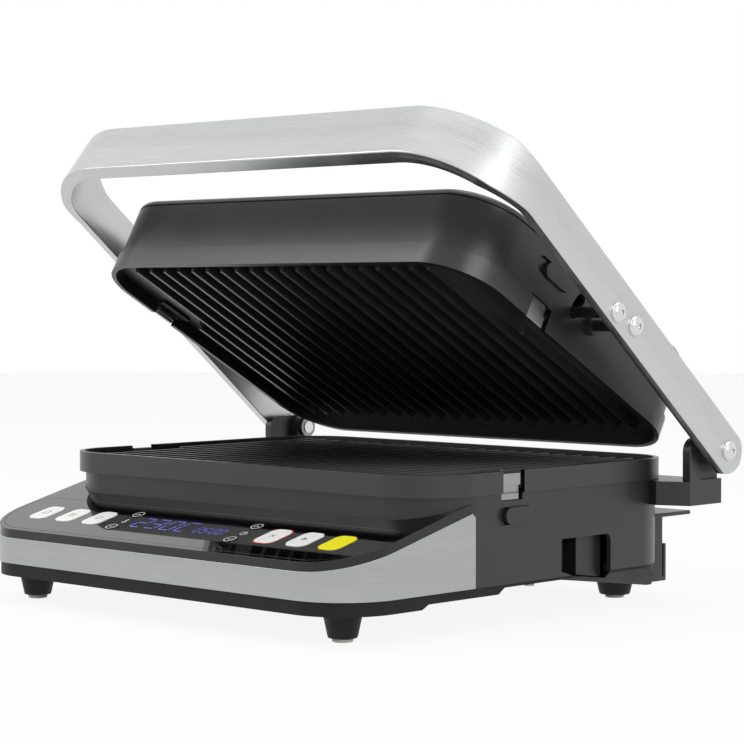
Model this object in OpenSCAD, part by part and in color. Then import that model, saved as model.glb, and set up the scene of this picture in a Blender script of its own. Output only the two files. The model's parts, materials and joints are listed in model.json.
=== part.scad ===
// Electric indoor grill with a floating lid.
// Millimetres, +Z up, +Y to the hinge, +X to the side with the drip tray. The origin lies on the
// surface that the feet stand on, under the middle of the part's box with the lid half open.
// Inside the modules y is measured from the front face of the lower rim; placed() centres it.

/* [Plates] */
// Width of both plate rims
rim_w = 310; // [296:1:322]
// Depth of both plate rims
rim_d = 222; // [214:1:232]
// Corner radius of the rims, seen from above
corner_r = 36; // [30:1:42]
// Wall of the rims
rim_wall = 3; // [2.5:0.1:3.5]
// Height of the lower rim
lower_rim_h = 12.2; // [11.8:0.1:14]
// Height of the upper rim
upper_rim_h = 12.4; // [11.8:0.1:14]
// Gap between the rims with the lid closed
closing_gap = 1; // [0.6:0.1:2]
// Thickness of a plate's floor
plate_floor = 3; // [2:0.1:3.4]
// Number of ribs on each plate
rib_count = 22; // [12:2:22]
// Spacing of the ribs
rib_pitch = 12.7; // [10:0.1:13]
// Height of a rib
rib_h = 6; // [4:0.1:6.2]
// Width of a rib at its tip
rib_tip = 2.2; // [1.6:0.1:3]
// Width of a rib at its root
rib_root = 4.2; // [3.2:0.1:6]
// How far the rib tips lie inside the rim's edge
rib_drop = 1; // [0.5:0.1:1.6]
// Distance from the rim's front to the front ends of the ribs
rib_front = 8.5; // [7:0.5:20]
// Distance from the rim's rear to the rear ends of the ribs
rib_rear = 20; // [14:1:26]

/* [Base] */
// Height of the flat front part's underside
pan_z = 15.4; // [14.4:0.1:17]
// Height of the deep rear part's underside at the back
sump_z = 8.3; // [7.5:0.1:9]
// Height of the housing's lower edge
shell_z = 23; // [22.6:0.1:23.6]
// Height of the lower rim's underside
rim_z = 72.4; // [72:0.1:75]
// How far the rim stands out past the housing's sides
rim_overhang = 1.5; // [1:0.1:2.5]
// Setback of the collar's front wall behind the rim
collar_setback = 3.5; // [2:0.1:5]
// Wall of the housing
shell_wall = 3; // [2.4:0.1:3.4]
// How far the deck juts out in front of the rim
deck_reach = 62; // [58:1:70]
// Height of the deck's front edge
deck_z = 43; // [42.6:0.1:44]
// Slope of the deck, in degrees
deck_slope = 14.7; // [14:0.1:15.2]
// Height of the glossy deck trim's skirt
trim_h = 4.8; // [4:0.1:5.4]
// Width of the trim's lip round the panel
trim_lip = 3; // [2:0.1:5]
// Depth of the glossy panel, along y
panel_d = 49; // [46:1:51]
// Thickness of the glossy panel
panel_t = 2; // [1.4:0.1:2.4]
// Thickness of the steel band
band_t = 1.2; // [0.8:0.1:1.6]
// How far the band stands out from the housing
band_proud = 0.6; // [0.3:0.1:0.8]
// Distance from the rim's front to the band's rear edge
band_rear = 37.7; // [34:0.1:42]

/* [Feet] */
// Radius of a front foot at its top
front_foot_top = 10.7; // [9:0.1:12]
// Radius of a front foot at its lower end
front_foot_low = 7.8; // [6.5:0.1:8.6]
// Radius of a rear foot at its top
rear_foot_top = 11; // [9:0.1:11.6]
// Radius of a rear foot at its lower end
rear_foot_low = 9; // [7:0.1:9.4]
// Radius of the rubber pads
pad_r = 5.6; // [4:0.1:6]
// Height of the pads below the feet
pad_h = 2; // [1.5:0.1:3]

/* [Handle] */
// Gap between the rims' sides and the arms
side_gap = 23.2; // [20:0.1:27]
// Thickness of an arm
arm_t = 6.2; // [5:0.1:7]
// Width of an arm
arm_w = 25.4; // [24:0.2:28]
// Width of the grip, which is wider than the arms
grip_w = 33.4; // [30:0.2:36]
// Thickness of the grip
grip_t = 9.5; // [8:0.1:11]
// Distance from the pivot to the grip's front face
arm_reach = 280; // [278:1:290]
// Outer radius of the bends between the arms and the grip
bend_r = 60; // [44:1:66]
// Height of the pivot
hinge_z = 89; // [88.6:0.1:90]
// Distance from the rim's front to the pivot
hinge_y = 226; // [225:0.5:228]
// How far the arms rise with the lid closed, in degrees
arm_rise = 10.37; // [9.8:0.1:11]
// How far the lid stands open here, in degrees
open_angle = 29.43; // [24:0.5:34]
// Radius of the domed screw heads
screw_head_r = 6; // [5:0.1:7]
// Height of the domed screw heads
screw_head_h = 3.4; // [2.5:0.1:4]
// Radius of the pivot screws' shanks
pivot_r = 4; // [3.5:0.1:4.5]
// Play between a turning pin and its bore, on the radius
pin_play = 0.05; // [0.02:0.01:0.09]

/* [Lid] */
// Height of the lid's housing at the front, above its rim
lid_front_h = 35.4; // [33:0.1:38]
// How much higher the lid's housing is at the rear
lid_crown = 5; // [3:0.5:6]
// Rounding of the lid's top edges
lid_edge_r = 4; // [3.5:0.1:5]
// Inset of the lid's housing behind its rim
lid_inset = 1.5; // [1:0.1:2.5]
// Distance from the handle's pivot to the pin that the lid turns on
lid_pin_a = 115.5; // [112:0.5:119]
// Distance from the handle's pivot to the guide pin
guide_pin_a = 132.4; // [130:0.2:134]
// Offset of the lid's turning pin below the arm's middle line
lid_pin_n = -0.8; // [-2:0.1:1]
// Offset of the guide pin below the arm's middle line
guide_pin_n = -4.8; // [-5.6:0.1:-4]
// Radius of both lid pins
lid_pin_r = 3.2; // [2.8:0.1:3.6]
// Radius of the boss round the turning pin
lid_boss_r = 5.6; // [5.2:0.1:7]
// How far the lid tilts on its pins, in degrees
lid_tilt_max = 30; // [24:1:32]

/* [Release buttons] */
// Distance from the rim's front to the clips' middle
clip_y = 67; // [65:0.5:69]
// Width of a clip
clip_w = 14.7; // [13:0.1:16]
// Length of the button recess
recess_l = 31.6; // [30:0.2:34]
// Length of a button
button_l = 24; // [20:0.5:26]
// Height of a button and its recess
button_h = 9.8; // [8:0.1:11]
// Height of the base button's middle
base_button_z = 60; // [58:0.5:61]
// Height of the lid button's middle above the lid's rim
lid_button_w = 19.6; // [17:0.2:21]
// How far a button goes in
button_travel = 3; // [2:0.1:3.4]

/* [Drip tray] */
// Distance from the rim's front to the tray pocket
tray_y = 110.5; // [109:0.5:112]
// Width of the tray pocket
tray_w = 44.2; // [42:0.1:46]
// Underside of the tray pocket
tray_z = 23.6; // [23.4:0.1:24.4]
// Height of the tray pocket
tray_h = 20.4; // [18:0.2:21]
// Length of the tray
tray_l = 280; // [250:5:290]
// Wall of the tray
tray_wall = 1.6; // [1.2:0.1:2.2]

/* [Keys] */
// Sideways spacing of the keys
key_pitch = 24.2; // [22:0.2:25]
// Distance from the housing's side to the middle of the outermost key
key_edge = 32.6; // [30:0.1:34]
// Width of a key
key_w = 15; // [13:0.5:17]
// Length of a key along the deck
key_l = 20.5; // [18:0.5:23]
// Radius of the arrow keys
arrow_r = 4; // [3.2:0.1:4.6]
// Sideways distance from the first key to the arrow keys
arrow_gap = 23.1; // [21:0.1:26]
// Spacing of an upper and a lower arrow key
arrow_pitch = 20.8; // [18:0.2:23]
// Distance from the deck's front edge to the middle of the controls
keys_in = 28.4; // [26:0.2:31]
// Travel of a key
key_travel = 0.8; // [0.4:0.1:1]

/* [Hidden] */
$fn = 64;

FIT = 0.2;                 // clearance of parts that sit in each other
RUN = 0.3;                 // clearance of parts that pass each other
BIG = 600;                 // longer than any cut needs

// Base
body_w = rim_w - 2*rim_overhang;
body_back = rim_d - rim_overhang;
hook_reach = 24;           // how far the cord hooks stand out behind
shift_y = (deck_reach + band_proud - (body_back + hook_reach))/2;
rim_top = rim_z + lower_rim_h;
lower_floor_z = rim_top - rib_drop - rib_h - plate_floor;
pan_wall = 2.5;
deck_wall = 2.4;           // the housing's own top under the deck trim
pan_inset = 0.8;
pan_mid_z = 17.9;          // underside between the two steps of the pan
pan_high_z = 21.2;         // underside just ahead of the deep part
pan_step_front = 2;
pan_step_mid = 63;
sump_front = tray_y + 0.5;
sump_flat = body_back - 12.5;  // from here back the underside is level
sump_slope = (pan_high_z - sump_z)/(sump_flat - sump_front);
sump_lean = 14;            // how far the deep part's sides lean in
band_z = shell_z;
ledge_z = rim_z - 2;

// Lid, in its closed place
lid_rim_z = rim_top + closing_gap;
lid_body_z = lid_rim_z + upper_rim_h;
lid_front = -1;
lid_back = lid_front + rim_d;
upper_floor_z = lid_rim_z + rib_drop + rib_h;
arm_angle = arm_rise + open_angle;
arm_span = rim_w + 2*(side_gap + arm_t);
arm_in_x = arm_span/2 - arm_t;
lid_side_x = rim_w/2 - lid_inset;
lid_wall = 3;

function arm_y(a, n) = hinge_y - a*cos(arm_rise) + n*sin(arm_rise);
function arm_z(a, n) = hinge_z + a*sin(arm_rise) + n*cos(arm_rise);
lid_pin_y = arm_y(lid_pin_a, lid_pin_n);
lid_pin_z = arm_z(lid_pin_a, lid_pin_n);
guide_y = arm_y(guide_pin_a, guide_pin_n);
guide_z = arm_z(guide_pin_a, guide_pin_n);
guide_r = sqrt(pow(lid_pin_y - guide_y, 2) + pow(lid_pin_z - guide_z, 2));
guide_angle = atan2(guide_z - lid_pin_z, lid_pin_y - guide_y);

// Hinge blocks
block_x = arm_in_x - 1.2;
ear_t = 5.2;
ear_in_x = block_x - ear_t;
boss_in_x = ear_in_x - 6;
boss_side = 8;             // radius of the ear round the pivot
block_front = hinge_y - 35.6;
block_back = hinge_y + 3.2;
block_z = rim_z - 14.4;
block_top = rim_z - 0.5;
ear_front = hinge_y - 27.7;
ear_top = hinge_z + boss_side;
ear_pocket_r = 12.5;       // rounding of the ear's pocket at its lower front corner
ear_pocket_d = 3;
ear_lip = 1.2;
washer_r = 9;

// Clips and buttons
clip_t = 2.3;
clip_x = rim_w/2 - 3.3;    // inner face of a clip
ledge_h = 7.2;             // height of the ledge in the notch that a clip hooks over
notch_d = 5;
button_y = clip_y + 6.5;
recess_y = clip_y + 3;
button_top_x = body_w/2 + 1.6;

function deck_at(y) = deck_z + (y + deck_reach)*tan(deck_slope);

// ---- shared shapes ----

// Rectangle with round corners, centred on x, from y0 to y1
module round_rect(w, y0, y1, r) {
    translate([-w/2 + r, y0]) square([w - 2*r, y1 - y0]);
    translate([-w/2, y0 + r]) square([w, y1 - y0 - 2*r]);
    for (x = [-w/2 + r, w/2 - r], y = [y0 + r, y1 - r]) translate([x, y]) circle(r);
}

module layer(z0, z1) {
    translate([0, 0, z0]) linear_extrude(z1 - z0) children();
}

// Extrudes an outline drawn in (y, z) from x0 to x1
module along_x(x0, x1) {
    translate([x0, 0, 0]) rotate([90, 0, 90]) linear_extrude(x1 - x0) children();
}

// Extrudes an outline drawn in (x, z) from y0 to y1
module along_y(y0, y1) {
    translate([0, y1, 0]) rotate([90, 0, 0]) linear_extrude(y1 - y0) children();
}

module rod_x(x0, x1, y, z, r) {
    translate([x0, y, z]) rotate([0, 90, 0]) cylinder(h = x1 - x0, r = r);
}

module both_sides() {
    children();
    mirror([1, 0, 0]) children();
}

// The whole part, centred in y
module placed() {
    translate([0, shift_y, 0]) children();
}

// What rides on the arms, drawn with y = -distance from the pivot and z = offset
module on_arm() {
    placed() translate([0, hinge_y, hinge_z]) rotate([-arm_angle, 0, 0]) children();
}

// What rides on the lid, drawn in its closed place
module on_lid() {
    placed() translate([0, hinge_y, hinge_z]) rotate([-open_angle, 0, 0])
        translate([0, -hinge_y, -hinge_z]) children();
}

// What is set square to the deck, drawn with z = 0 on the deck's face at the controls
module on_deck() {
    placed() translate([0, keys_in - deck_reach, deck_at(keys_in - deck_reach)])
        rotate([deck_slope, 0, 0]) children();
}

// Everything under the deck's face, lowered by drop
module under_deck(drop, rear) {
    along_x(-BIG/2, BIG/2) polygon([
        [-deck_reach - 2, 0],
        [rear, 0],
        [rear, deck_at(rear) - drop],
        [-deck_reach - 2, deck_at(-deck_reach - 2) - drop]
    ]);
}

// Outline of the collar, and of the whole housing with the deck, inset by d
module collar_outline(d) {
    round_rect(body_w - 2*d, collar_setback + d, body_back - d, corner_r - d);
}

module body_outline(d) {
    round_rect(body_w - 2*d, -deck_reach + d, body_back - d, corner_r - d);
}

// Stadium in (y, z), centred at its middle
module stadium(l, h) {
    translate([-(l - h)/2, -h/2]) square([l - h, h]);
    for (s = [-1, 1]) translate([s*(l - h)/2, 0]) circle(h/2);
}

module domed_head(r, h) {
    ring_h = 1;
    dome_h = h - ring_h;
    ball_r = (r*r + dome_h*dome_h)/(2*dome_h);
    difference() {
        union() {
            cylinder(h = ring_h, r = r);
            intersection() {
                translate([0, 0, ring_h + dome_h - ball_r]) sphere(ball_r, $fn = 96);
                translate([0, 0, ring_h]) cylinder(h = dome_h, r = r - 0.4);
            }
        }
        translate([0, 0, h - 1.1]) cylinder(h = 2, r = 1.1);
    }
}

// A screw head whose shank runs inwards along -x from the arm's outer face
module arm_screw(a, n, shank_r, shank_l) {
    translate([arm_span/2, -a, n]) rotate([0, 90, 0]) {
        domed_head(screw_head_r, screw_head_h);
        translate([0, 0, -shank_l]) cylinder(h = shank_l, r = shank_r);
    }
}

// Two nested U-shaped heating tubes with straight tails, tube middle at z = 0
module heating_loops(y0, y1) {
    for (half = [heater_outer, heater_inner]) {
        front = y0 + (half == heater_outer ? 0 : heater_nest);
        for (s = [-1, 1]) {
            translate([s*half, y1, 0]) rotate([90, 0, 0])
                cylinder(h = y1 - front - heater_bend, r = heater_r);
            translate([s*(half - heater_bend), front + heater_bend, 0])
                rotate([0, 0, s > 0 ? -90 : 180])
                    rotate_extrude(angle = 90) translate([heater_bend, 0]) circle(heater_r);
        }
        rod_x(-half + heater_bend, half - heater_bend, front, 0, heater_r);
    }
}

heater_r = 3.25;
heater_outer = rim_w/2 - 43;
heater_inner = 50;
heater_nest = 40;
heater_bend = 22;
heater_front = 34;
heater_rear = rim_d - 26;

// Ribs that stand up from z = 0. The outermost ones start behind the side notches
module plate_ribs() {
    for (i = [0 : rib_count - 1])
        translate([(i - (rib_count - 1)/2)*rib_pitch, 0, 0])
            along_y(i%(rib_count - 1) == 0 ? clip_y + clip_w : rib_front, rim_d - rib_rear) polygon([
                [-rib_root/2, 0], [rib_root/2, 0], [rib_tip/2, rib_h], [-rib_tip/2, rib_h]
            ]);
}

// A plate lying with its rim's foot at z = 0 and its floor's underside at floor_z
module grill_plate(rim_h, floor_z) {
    skirt = 6;
    difference() {
        union() {
            difference() {
                layer(0, rim_h) round_rect(rim_w, 0, rim_d, corner_r);
                layer(floor_z + plate_floor, rim_h + 1)
                    round_rect(rim_w - 2*rim_wall, rim_wall, rim_d - rim_wall, corner_r - rim_wall);
                layer(-1, floor_z)
                    round_rect(rim_w - 2*skirt, skirt, rim_d - skirt, corner_r - skirt);
            }
            // pads of metal behind the side notches
            both_sides()
                translate([rim_w/2 - 2*notch_d, clip_y - clip_w/2 - 4, floor_z])
                    cube([2*notch_d - rim_wall/2, clip_w + 9, rim_h - floor_z - rib_drop]);
            translate([0, 0, floor_z + plate_floor]) plate_ribs();
        }
        both_sides() {
            translate([rim_w/2 - notch_d, clip_y - clip_w/2 - 0.5, ledge_h])
                cube([2*notch_d, clip_w + 3, rim_h]);
            translate([clip_x - RUN, clip_y - clip_w/2 - 0.5, -1])
                cube([2*notch_d, clip_w + 3, rim_h]);
        }
    }
}

// ---- base ----

module base_shell() {
    inner_drop = trim_h + deck_wall;
    color([0.21, 0.21, 0.22]) placed() difference() {
        union() {
            difference() {
                union() {
                    layer(shell_z, rim_z) collar_outline(0);
                    intersection() {
                        layer(shell_z, rim_z) body_outline(0);
                        under_deck(trim_h, body_back);
                    }
                }
                layer(shell_z - 1, rim_z + 1) collar_outline(shell_wall);
                intersection() {
                    layer(shell_z - 1, rim_z) body_outline(shell_wall);
                    under_deck(inner_drop, body_back);
                }
            }
            case_bosses(boss_r, FIT);
            board_posts(inner_drop);
        }
        band_cut();
        // pocket of the drip tray
        along_x(body_w/2 - 2*shell_wall, body_w/2 + 1) tray_mouth(0);
        // recess and bore of the release button, and the clip slots above them
        along_x(body_w/2 - 2*shell_wall, body_w/2 + 1)
            translate([button_y, base_button_z]) stadium(button_l + 2*FIT, button_h);
        along_x(body_w/2 - shell_wall/2, body_w/2 + 1)
            translate([recess_y, base_button_z]) stadium(recess_l, button_h);
        both_sides()
            translate([body_w/2 - 2*shell_wall, clip_y - clip_w/2 - 0.5, rim_z - 4])
                cube([4*shell_wall, clip_w + 3, 10]);
        // openings of the keys and the display window in the deck's support
        key_cuts(1.2);
        display_cut();
        // cord gland
        gland_cut();
        // screws of the hinge blocks and of the pan
        both_sides() for (y = hinge_screw_y)
            rod_x(wall_in_x(y) - 2*shell_wall, body_w/2 + 1, y, hinge_screw_z, screw_r + FIT);
        case_screw_holes();
    }
}

module case_screw_holes() {
    for (s = case_screws) both_sides()
        translate([s[0], s[1], 0]) cylinder(h = boss_top(s) - 2, r = screw_r + FIT);
}

hinge_screw_z = block_z + 6;
hinge_screw_y = [body_back - 17, body_back - 9];
screw_r = 1.5;
boss_r = 4;
boss_bite = 0.8;           // how far a boss reaches into the wall that carries it
boss_h = 18;
// x, y and the pan's underside at the case screws
case_screws = [
    [100, -8, pan_z],
    [body_w/2 - shell_wall - boss_r + boss_bite, 90, pan_high_z],
    [90, body_back - shell_wall - boss_r + boss_bite, sump_z]
];

// Inner face of the housing's rear corner at y
function wall_in_x(y) = body_w/2 - corner_r
    + sqrt(pow(corner_r - shell_wall, 2) - pow(y - body_back + corner_r, 2));

// Underside of the pan's deep part at y
function sump_at(y) = sump_z + max(0, sump_flat - y)*sump_slope;

// Height that the boss of a case screw reaches
function boss_top(s) = s[1] < 0 ? deck_at(s[1]) - trim_h - 1 : s[2] + pan_wall + boss_h;

tray_corner_r = 4;

// What lies outside the tray's rounded upper rear corner, with the tray grown by d, in (y, z)
module tray_corner(d) {
    translate([tray_y + tray_w - tray_corner_r, tray_z + tray_h - tray_corner_r]) difference() {
        square(2*tray_corner_r);
        circle(tray_corner_r + d);
    }
}

// The tray pocket's outline in (y, z), grown by d
module tray_pocket(d) {
    difference() {
        translate([tray_y - d, tray_z - d]) square([tray_w + 2*d, tray_h + 2*d]);
        tray_corner(d);
    }
}

// Outline of the opening in the side that the tray comes out of, grown by d, in (y, z). Its lower
// edge follows the underside
module tray_mouth(d) {
    y0 = tray_y - d;
    y1 = tray_y + tray_w + d;
    lip = 2.7;
    step = 11;
    difference() {
        polygon([
            [y0, tray_z + 2.2 - d], [tray_y + step, sump_at(tray_y + step) + lip - d],
            [y1, sump_at(y1) + lip - d], [y1, tray_z + tray_h + d], [y0, tray_z + tray_h + d]
        ]);
        tray_corner(d);
    }
}

// The tray's outline in (y, z), which fits its pocket and passes through the mouth, shrunk by d
module tray_outline(d) {
    intersection() {
        tray_pocket(-d);
        tray_mouth(-d);
    }
}

// Outline of the band from the side, in (y, z)
module band_side() {
    apex_r = 2;
    top_y = band_rear - 1.6;
    difference() {
        polygon([
            [-deck_reach - 2, band_z],
            [band_rear, band_z],
            [band_rear, deck_at(top_y) - trim_h],
            [-deck_reach - 2, deck_at(-deck_reach - 2) - trim_h]
        ]);
        translate([band_rear - apex_r, deck_at(band_rear) - trim_h - 2*apex_r]) difference() {
            square(3*apex_r);
            circle(apex_r);
        }
    }
}

module band_cut() {
    intersection() {
        difference() {
            layer(band_z - 1, rim_z) body_outline(-1);
            layer(band_z - 2, rim_z + 1) body_outline(band_t - band_proud);
        }
        along_x(-BIG/2, BIG/2) band_side();
    }
}

module steel_band() {
    color([0.76, 0.76, 0.76]) placed() intersection() {
        difference() {
            layer(band_z, rim_z) body_outline(-band_proud);
            layer(band_z - 1, rim_z + 1) body_outline(band_t - band_proud);
        }
        along_x(-BIG/2, BIG/2) band_side();
    }
}

// Outline of the trim's opening for the panel, seen from above
module panel_outline(d) {
    front = -deck_reach + trim_lip;
    intersection() {
        round_rect(body_w - 2*(trim_lip + d), front + d, front + 3*panel_d, corner_r - trim_lip - d);
        round_rect(body_w - 2*(trim_lip + d), front - panel_d, front + panel_d - d, panel_rear_r - d);
    }
}

module deck_trim() {
    color([0.05, 0.05, 0.05]) placed() difference() {
        intersection() {
            layer(shell_z, rim_z) body_outline(0);
            under_deck(0, body_back);
        }
        under_deck(trim_h, body_back + 1);
        layer(shell_z, rim_z + 1) collar_outline(-FIT);
        intersection() {
            layer(shell_z, rim_z) panel_outline(0);
            difference() {
                under_deck(-5, body_back);
                under_deck(panel_t, body_back);
            }
        }
        key_cuts(1.2);
        display_cut();
    }
}

module deck_panel() {
    color([0.03, 0.03, 0.03]) placed() difference() {
        intersection() {
            layer(shell_z, rim_z) panel_outline(FIT);
            under_deck(0, body_back);
        }
        under_deck(panel_t, body_back);
        key_cuts(RUN);
    }
}

// Openings for the keys and the display, square to the deck, wider than the keys by gap
module key_cuts(gap) {
    translate([0, keys_in - deck_reach, deck_at(keys_in - deck_reach)]) rotate([deck_slope, 0, 0]) {
        for (s = [-1, 1], i = [0 : 2])
            translate([s*(key_first + i*key_pitch), 0, -key_depth - 1])
                linear_extrude(key_depth + 3)
                    round_rect(key_w + 2*gap, -key_l/2 - gap, key_l/2 + gap, key_corner + gap);
        for (s = [-1, 1], t = [-1, 1])
            translate([s*arrow_x, t*arrow_pitch/2, -key_depth - 1])
                cylinder(h = key_depth + 3, r = arrow_r + gap);
    }
}

panel_rear_r = 12;
key_depth = 9;
key_corner = 5;
key_first = body_w/2 - key_edge - 2*key_pitch;
arrow_x = key_first - arrow_gap;
key_proud = 0.5;
switch_z = -key_depth - key_travel - 0.3;

// A cap that stands through the trim and the deck, square to both
module key_cap(x) {
    on_deck() translate([x, 0, 0]) {
        translate([0, 0, -key_depth]) linear_extrude(key_depth + key_proud)
            round_rect(key_w, -key_l/2, key_l/2, key_corner);
    }
}

module arrow_cap(x, t) {
    on_deck() translate([x, t*arrow_pitch/2, -key_depth])
        cylinder(h = key_depth + key_proud, r = arrow_r);
}

module left_key_1() { color([0.96, 0.96, 0.95]) key_cap(-key_first); }
module left_key_2() { color([0.96, 0.96, 0.95]) key_cap(-key_first - key_pitch); }
module left_key_3() { color([0.96, 0.96, 0.95]) key_cap(-key_first - 2*key_pitch); }
module right_key_1() { color([0.96, 0.96, 0.95]) key_cap(key_first); }
module right_key_2() { color([0.96, 0.96, 0.95]) key_cap(key_first + key_pitch); }
module right_key_3() { color([0.98, 0.9, 0.05]) key_cap(key_first + 2*key_pitch); }
module left_up_key() { color([0.8, 0.8, 0.8]) arrow_cap(-arrow_x, 1); }
module left_down_key() { color([0.8, 0.8, 0.8]) arrow_cap(-arrow_x, -1); }
module right_up_key() { color([0.8, 0.8, 0.8]) arrow_cap(arrow_x, 1); }
module right_down_key() { color([0.8, 0.8, 0.8]) arrow_cap(arrow_x, -1); }

board_t = 1.6;
switch_h = 3;

module key_switches() {
    color([0.12, 0.12, 0.13]) {
        for (s = [-1, 1], i = [0 : 2]) on_deck()
            translate([s*(key_first + i*key_pitch), 0, switch_z - switch_h/2])
                cube([6, 6, switch_h], center = true);
        for (s = [-1, 1], t = [-1, 1]) on_deck()
            translate([s*arrow_x, t*arrow_pitch/2, switch_z - switch_h/2])
                cube([6, 6, switch_h], center = true);
    }
}

board_w = 2*(key_first + 2*key_pitch) + 30;
board_l = 34;
board_z = switch_z - switch_h;

module control_board() {
    color([0.1, 0.35, 0.2]) on_deck()
        translate([-board_w/2, -board_l/2, board_z - board_t]) cube([board_w, board_l, board_t]);
}

// Posts under the deck that the control board is held by
module board_posts(drop) {
    translate([0, keys_in - deck_reach, deck_at(keys_in - deck_reach)]) rotate([deck_slope, 0, 0])
        for (x = [(arrow_x + key_first)/2 - 1, board_w/2 - 3]) both_sides()
            for (s = [-1, 1]) translate([x, s*(board_l/2 - 3.5), board_z])
                cylinder(h = -drop*cos(deck_slope) + 0.5 - board_z, r = 2.4);
}

window_gap = 6.4;          // between the display's window and the arrow keys
display_l = 28;
window_w = 2*(arrow_x - arrow_r - window_gap);
window_l = 22;
display_w = window_w + 6;

module display_module() {
    top = -(trim_h + deck_wall)*cos(deck_slope) - FIT;
    glass_top = -panel_t*cos(deck_slope) - FIT;
    color([0.16, 0.17, 0.18]) on_deck() {
        translate([-display_w/2, -display_l/2, board_z]) cube([display_w, display_l, top - board_z]);
        translate([-window_w/2 + 1, -window_l/2 + 1, board_z])
            cube([window_w - 2, window_l - 2, glass_top - board_z]);
    }
}

// Window of the display through the deck, under the glossy panel
module display_cut() {
    translate([0, keys_in - deck_reach, deck_at(keys_in - deck_reach)]) rotate([deck_slope, 0, 0])
        translate([-window_w/2, -window_l/2, -key_depth - 1])
            cube([window_w, window_l, key_depth - panel_t*cos(deck_slope) + 1.1]);
}

// Outline of the pan from the side, in (y, z), its underside raised by d
module pan_side(d) {
    polygon([
        [-deck_reach - 2, pan_z + d],
        [pan_step_front - 5, pan_z + d],
        [pan_step_front, pan_mid_z + d],
        [pan_step_mid - 5, pan_mid_z + d],
        [pan_step_mid, pan_high_z + d],
        [body_back, pan_high_z + d],
        [body_back, rim_z],
        [-deck_reach - 2, rim_z]
    ]);
}

// Outline of the pan's deep part from the side, in (y, z), its underside raised by d
module sump_side(d) {
    polygon([
        [sump_front, pan_high_z + d],
        [sump_flat, sump_z + d],
        [body_back, sump_z + d],
        [body_back, rim_z],
        [sump_front, rim_z]
    ]);
}

// What stands on the pan's sloping floor
module on_pan() {
    difference() {
        children();
        along_x(-BIG/2, BIG/2) difference() {
            translate([0, -1]) square([body_back, rim_z]);
            sump_side(pan_wall);
        }
    }
}

// The solid that fills the pan, inset by d
module pan_fill(d) {
    intersection() {
        union() {
            along_x(-BIG/2, BIG/2) pan_side(d);
            intersection() {
                along_x(-BIG/2, BIG/2) sump_side(d);
                along_y(0, BIG) polygon([
                    [-body_w/2 + pan_inset + sump_lean + d, sump_z],
                    [body_w/2 - pan_inset - sump_lean - d, sump_z],
                    [body_w/2 - pan_inset - d, pan_high_z],
                    [body_w/2 - pan_inset - d, BIG/2],
                    [-body_w/2 + pan_inset + d, BIG/2],
                    [-body_w/2 + pan_inset + d, pan_high_z]
                ]);
            }
        }
        layer(sump_z, shell_z + 4) body_outline(pan_inset + d);
    }
}

module case_bosses(r, gap) {
    for (s = case_screws) both_sides()
        translate([s[0], s[1], s[2] + pan_wall + gap])
            cylinder(h = boss_top(s) - s[2] - pan_wall - gap, r = r);
}

module bottom_pan() {
    color([0.16, 0.16, 0.17]) placed() difference() {
        pan_fill(0);
        layer(shell_z, BIG) difference() {
            square(2*BIG, center = true);
            body_outline(shell_wall + FIT);
        }
        difference() {
            pan_fill(pan_wall);
            layer(shell_z - 1, BIG) difference() {
                square(2*BIG, center = true);
                body_outline(shell_wall + FIT + 1.8);
            }
        }
        along_x(body_w/2 - 4*shell_wall, body_w/2 + 1) tray_mouth(0);
        case_screw_holes();
        case_bosses(boss_r + FIT, 0);
    }
}

module housing_screws() {
    color([0.5, 0.5, 0.52]) placed() {
        for (s = case_screws) both_sides() {
            translate([s[0], s[1], s[2] - head_h]) cylinder(h = head_h, r = head_r);
            translate([s[0], s[1], s[2] - 0.1]) cylinder(h = pan_wall + 8, r = screw_r);
        }
        both_sides() for (y = hinge_screw_y) {
            x0 = wall_in_x(y + head_r);
            rod_x(x0 - head_h, x0, y, hinge_screw_z, head_r);
            rod_x(x0 - 0.1, body_w/2 + 8, y, hinge_screw_z, screw_r);
        }
    }
}

head_r = 2.8;
head_h = 1.6;
front_foot_x = body_w/2 - 26.5;
front_foot_y = -36;
rear_foot_x = body_w/2 - 34.5;
rear_foot_y = 203;

module front_feet() {
    color([0.11, 0.11, 0.12]) placed() both_sides()
        translate([front_foot_x, front_foot_y, pad_h])
            cylinder(h = pan_z - pad_h, r1 = front_foot_low, r2 = front_foot_top);
}

module rear_feet() {
    top = sump_at(rear_foot_y - rear_foot_top);
    color([0.11, 0.11, 0.12]) placed() both_sides() difference() {
        translate([rear_foot_x, rear_foot_y, pad_h])
            cylinder(h = top - pad_h, r1 = rear_foot_low, r2 = rear_foot_top);
        along_x(0, BIG/2) sump_side(0);
    }
}

module foot_pads() {
    color([0.8, 0.8, 0.78]) placed() both_sides() {
        translate([front_foot_x, front_foot_y, 0]) cylinder(h = pad_h, r = pad_r);
        translate([rear_foot_x, rear_foot_y, 0]) cylinder(h = pad_h, r = pad_r);
    }
}

module lower_plate() {
    color([0.24, 0.24, 0.24]) placed() difference() {
        translate([0, 0, rim_z]) grill_plate(lower_rim_h, lower_floor_z - rim_z);
        translate([drain_x, drain_y, 0]) cylinder(h = BIG, r = drain_r);
    }
}

drain_x = rim_w/2 - 13;
drain_y = 133;
drain_r = 4.2;

chute_tilt = 42;           // lean of the chute's lower part, towards the tray's middle
chute_turn_z = tray_z + tray_h + 16;

// The inside or the outside of the chute, of radius r
module chute_bore(r) {
    translate([drain_x, drain_y, chute_turn_z]) {
        cylinder(h = lower_floor_z - chute_turn_z + 1, r = r);
        sphere(r + 0.2);       // a little wider than the bores, so that no two faces only touch
        rotate([0, chute_tilt, 0]) translate([0, 0, -BIG/10]) cylinder(h = BIG/10, r = r);
    }
}

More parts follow.
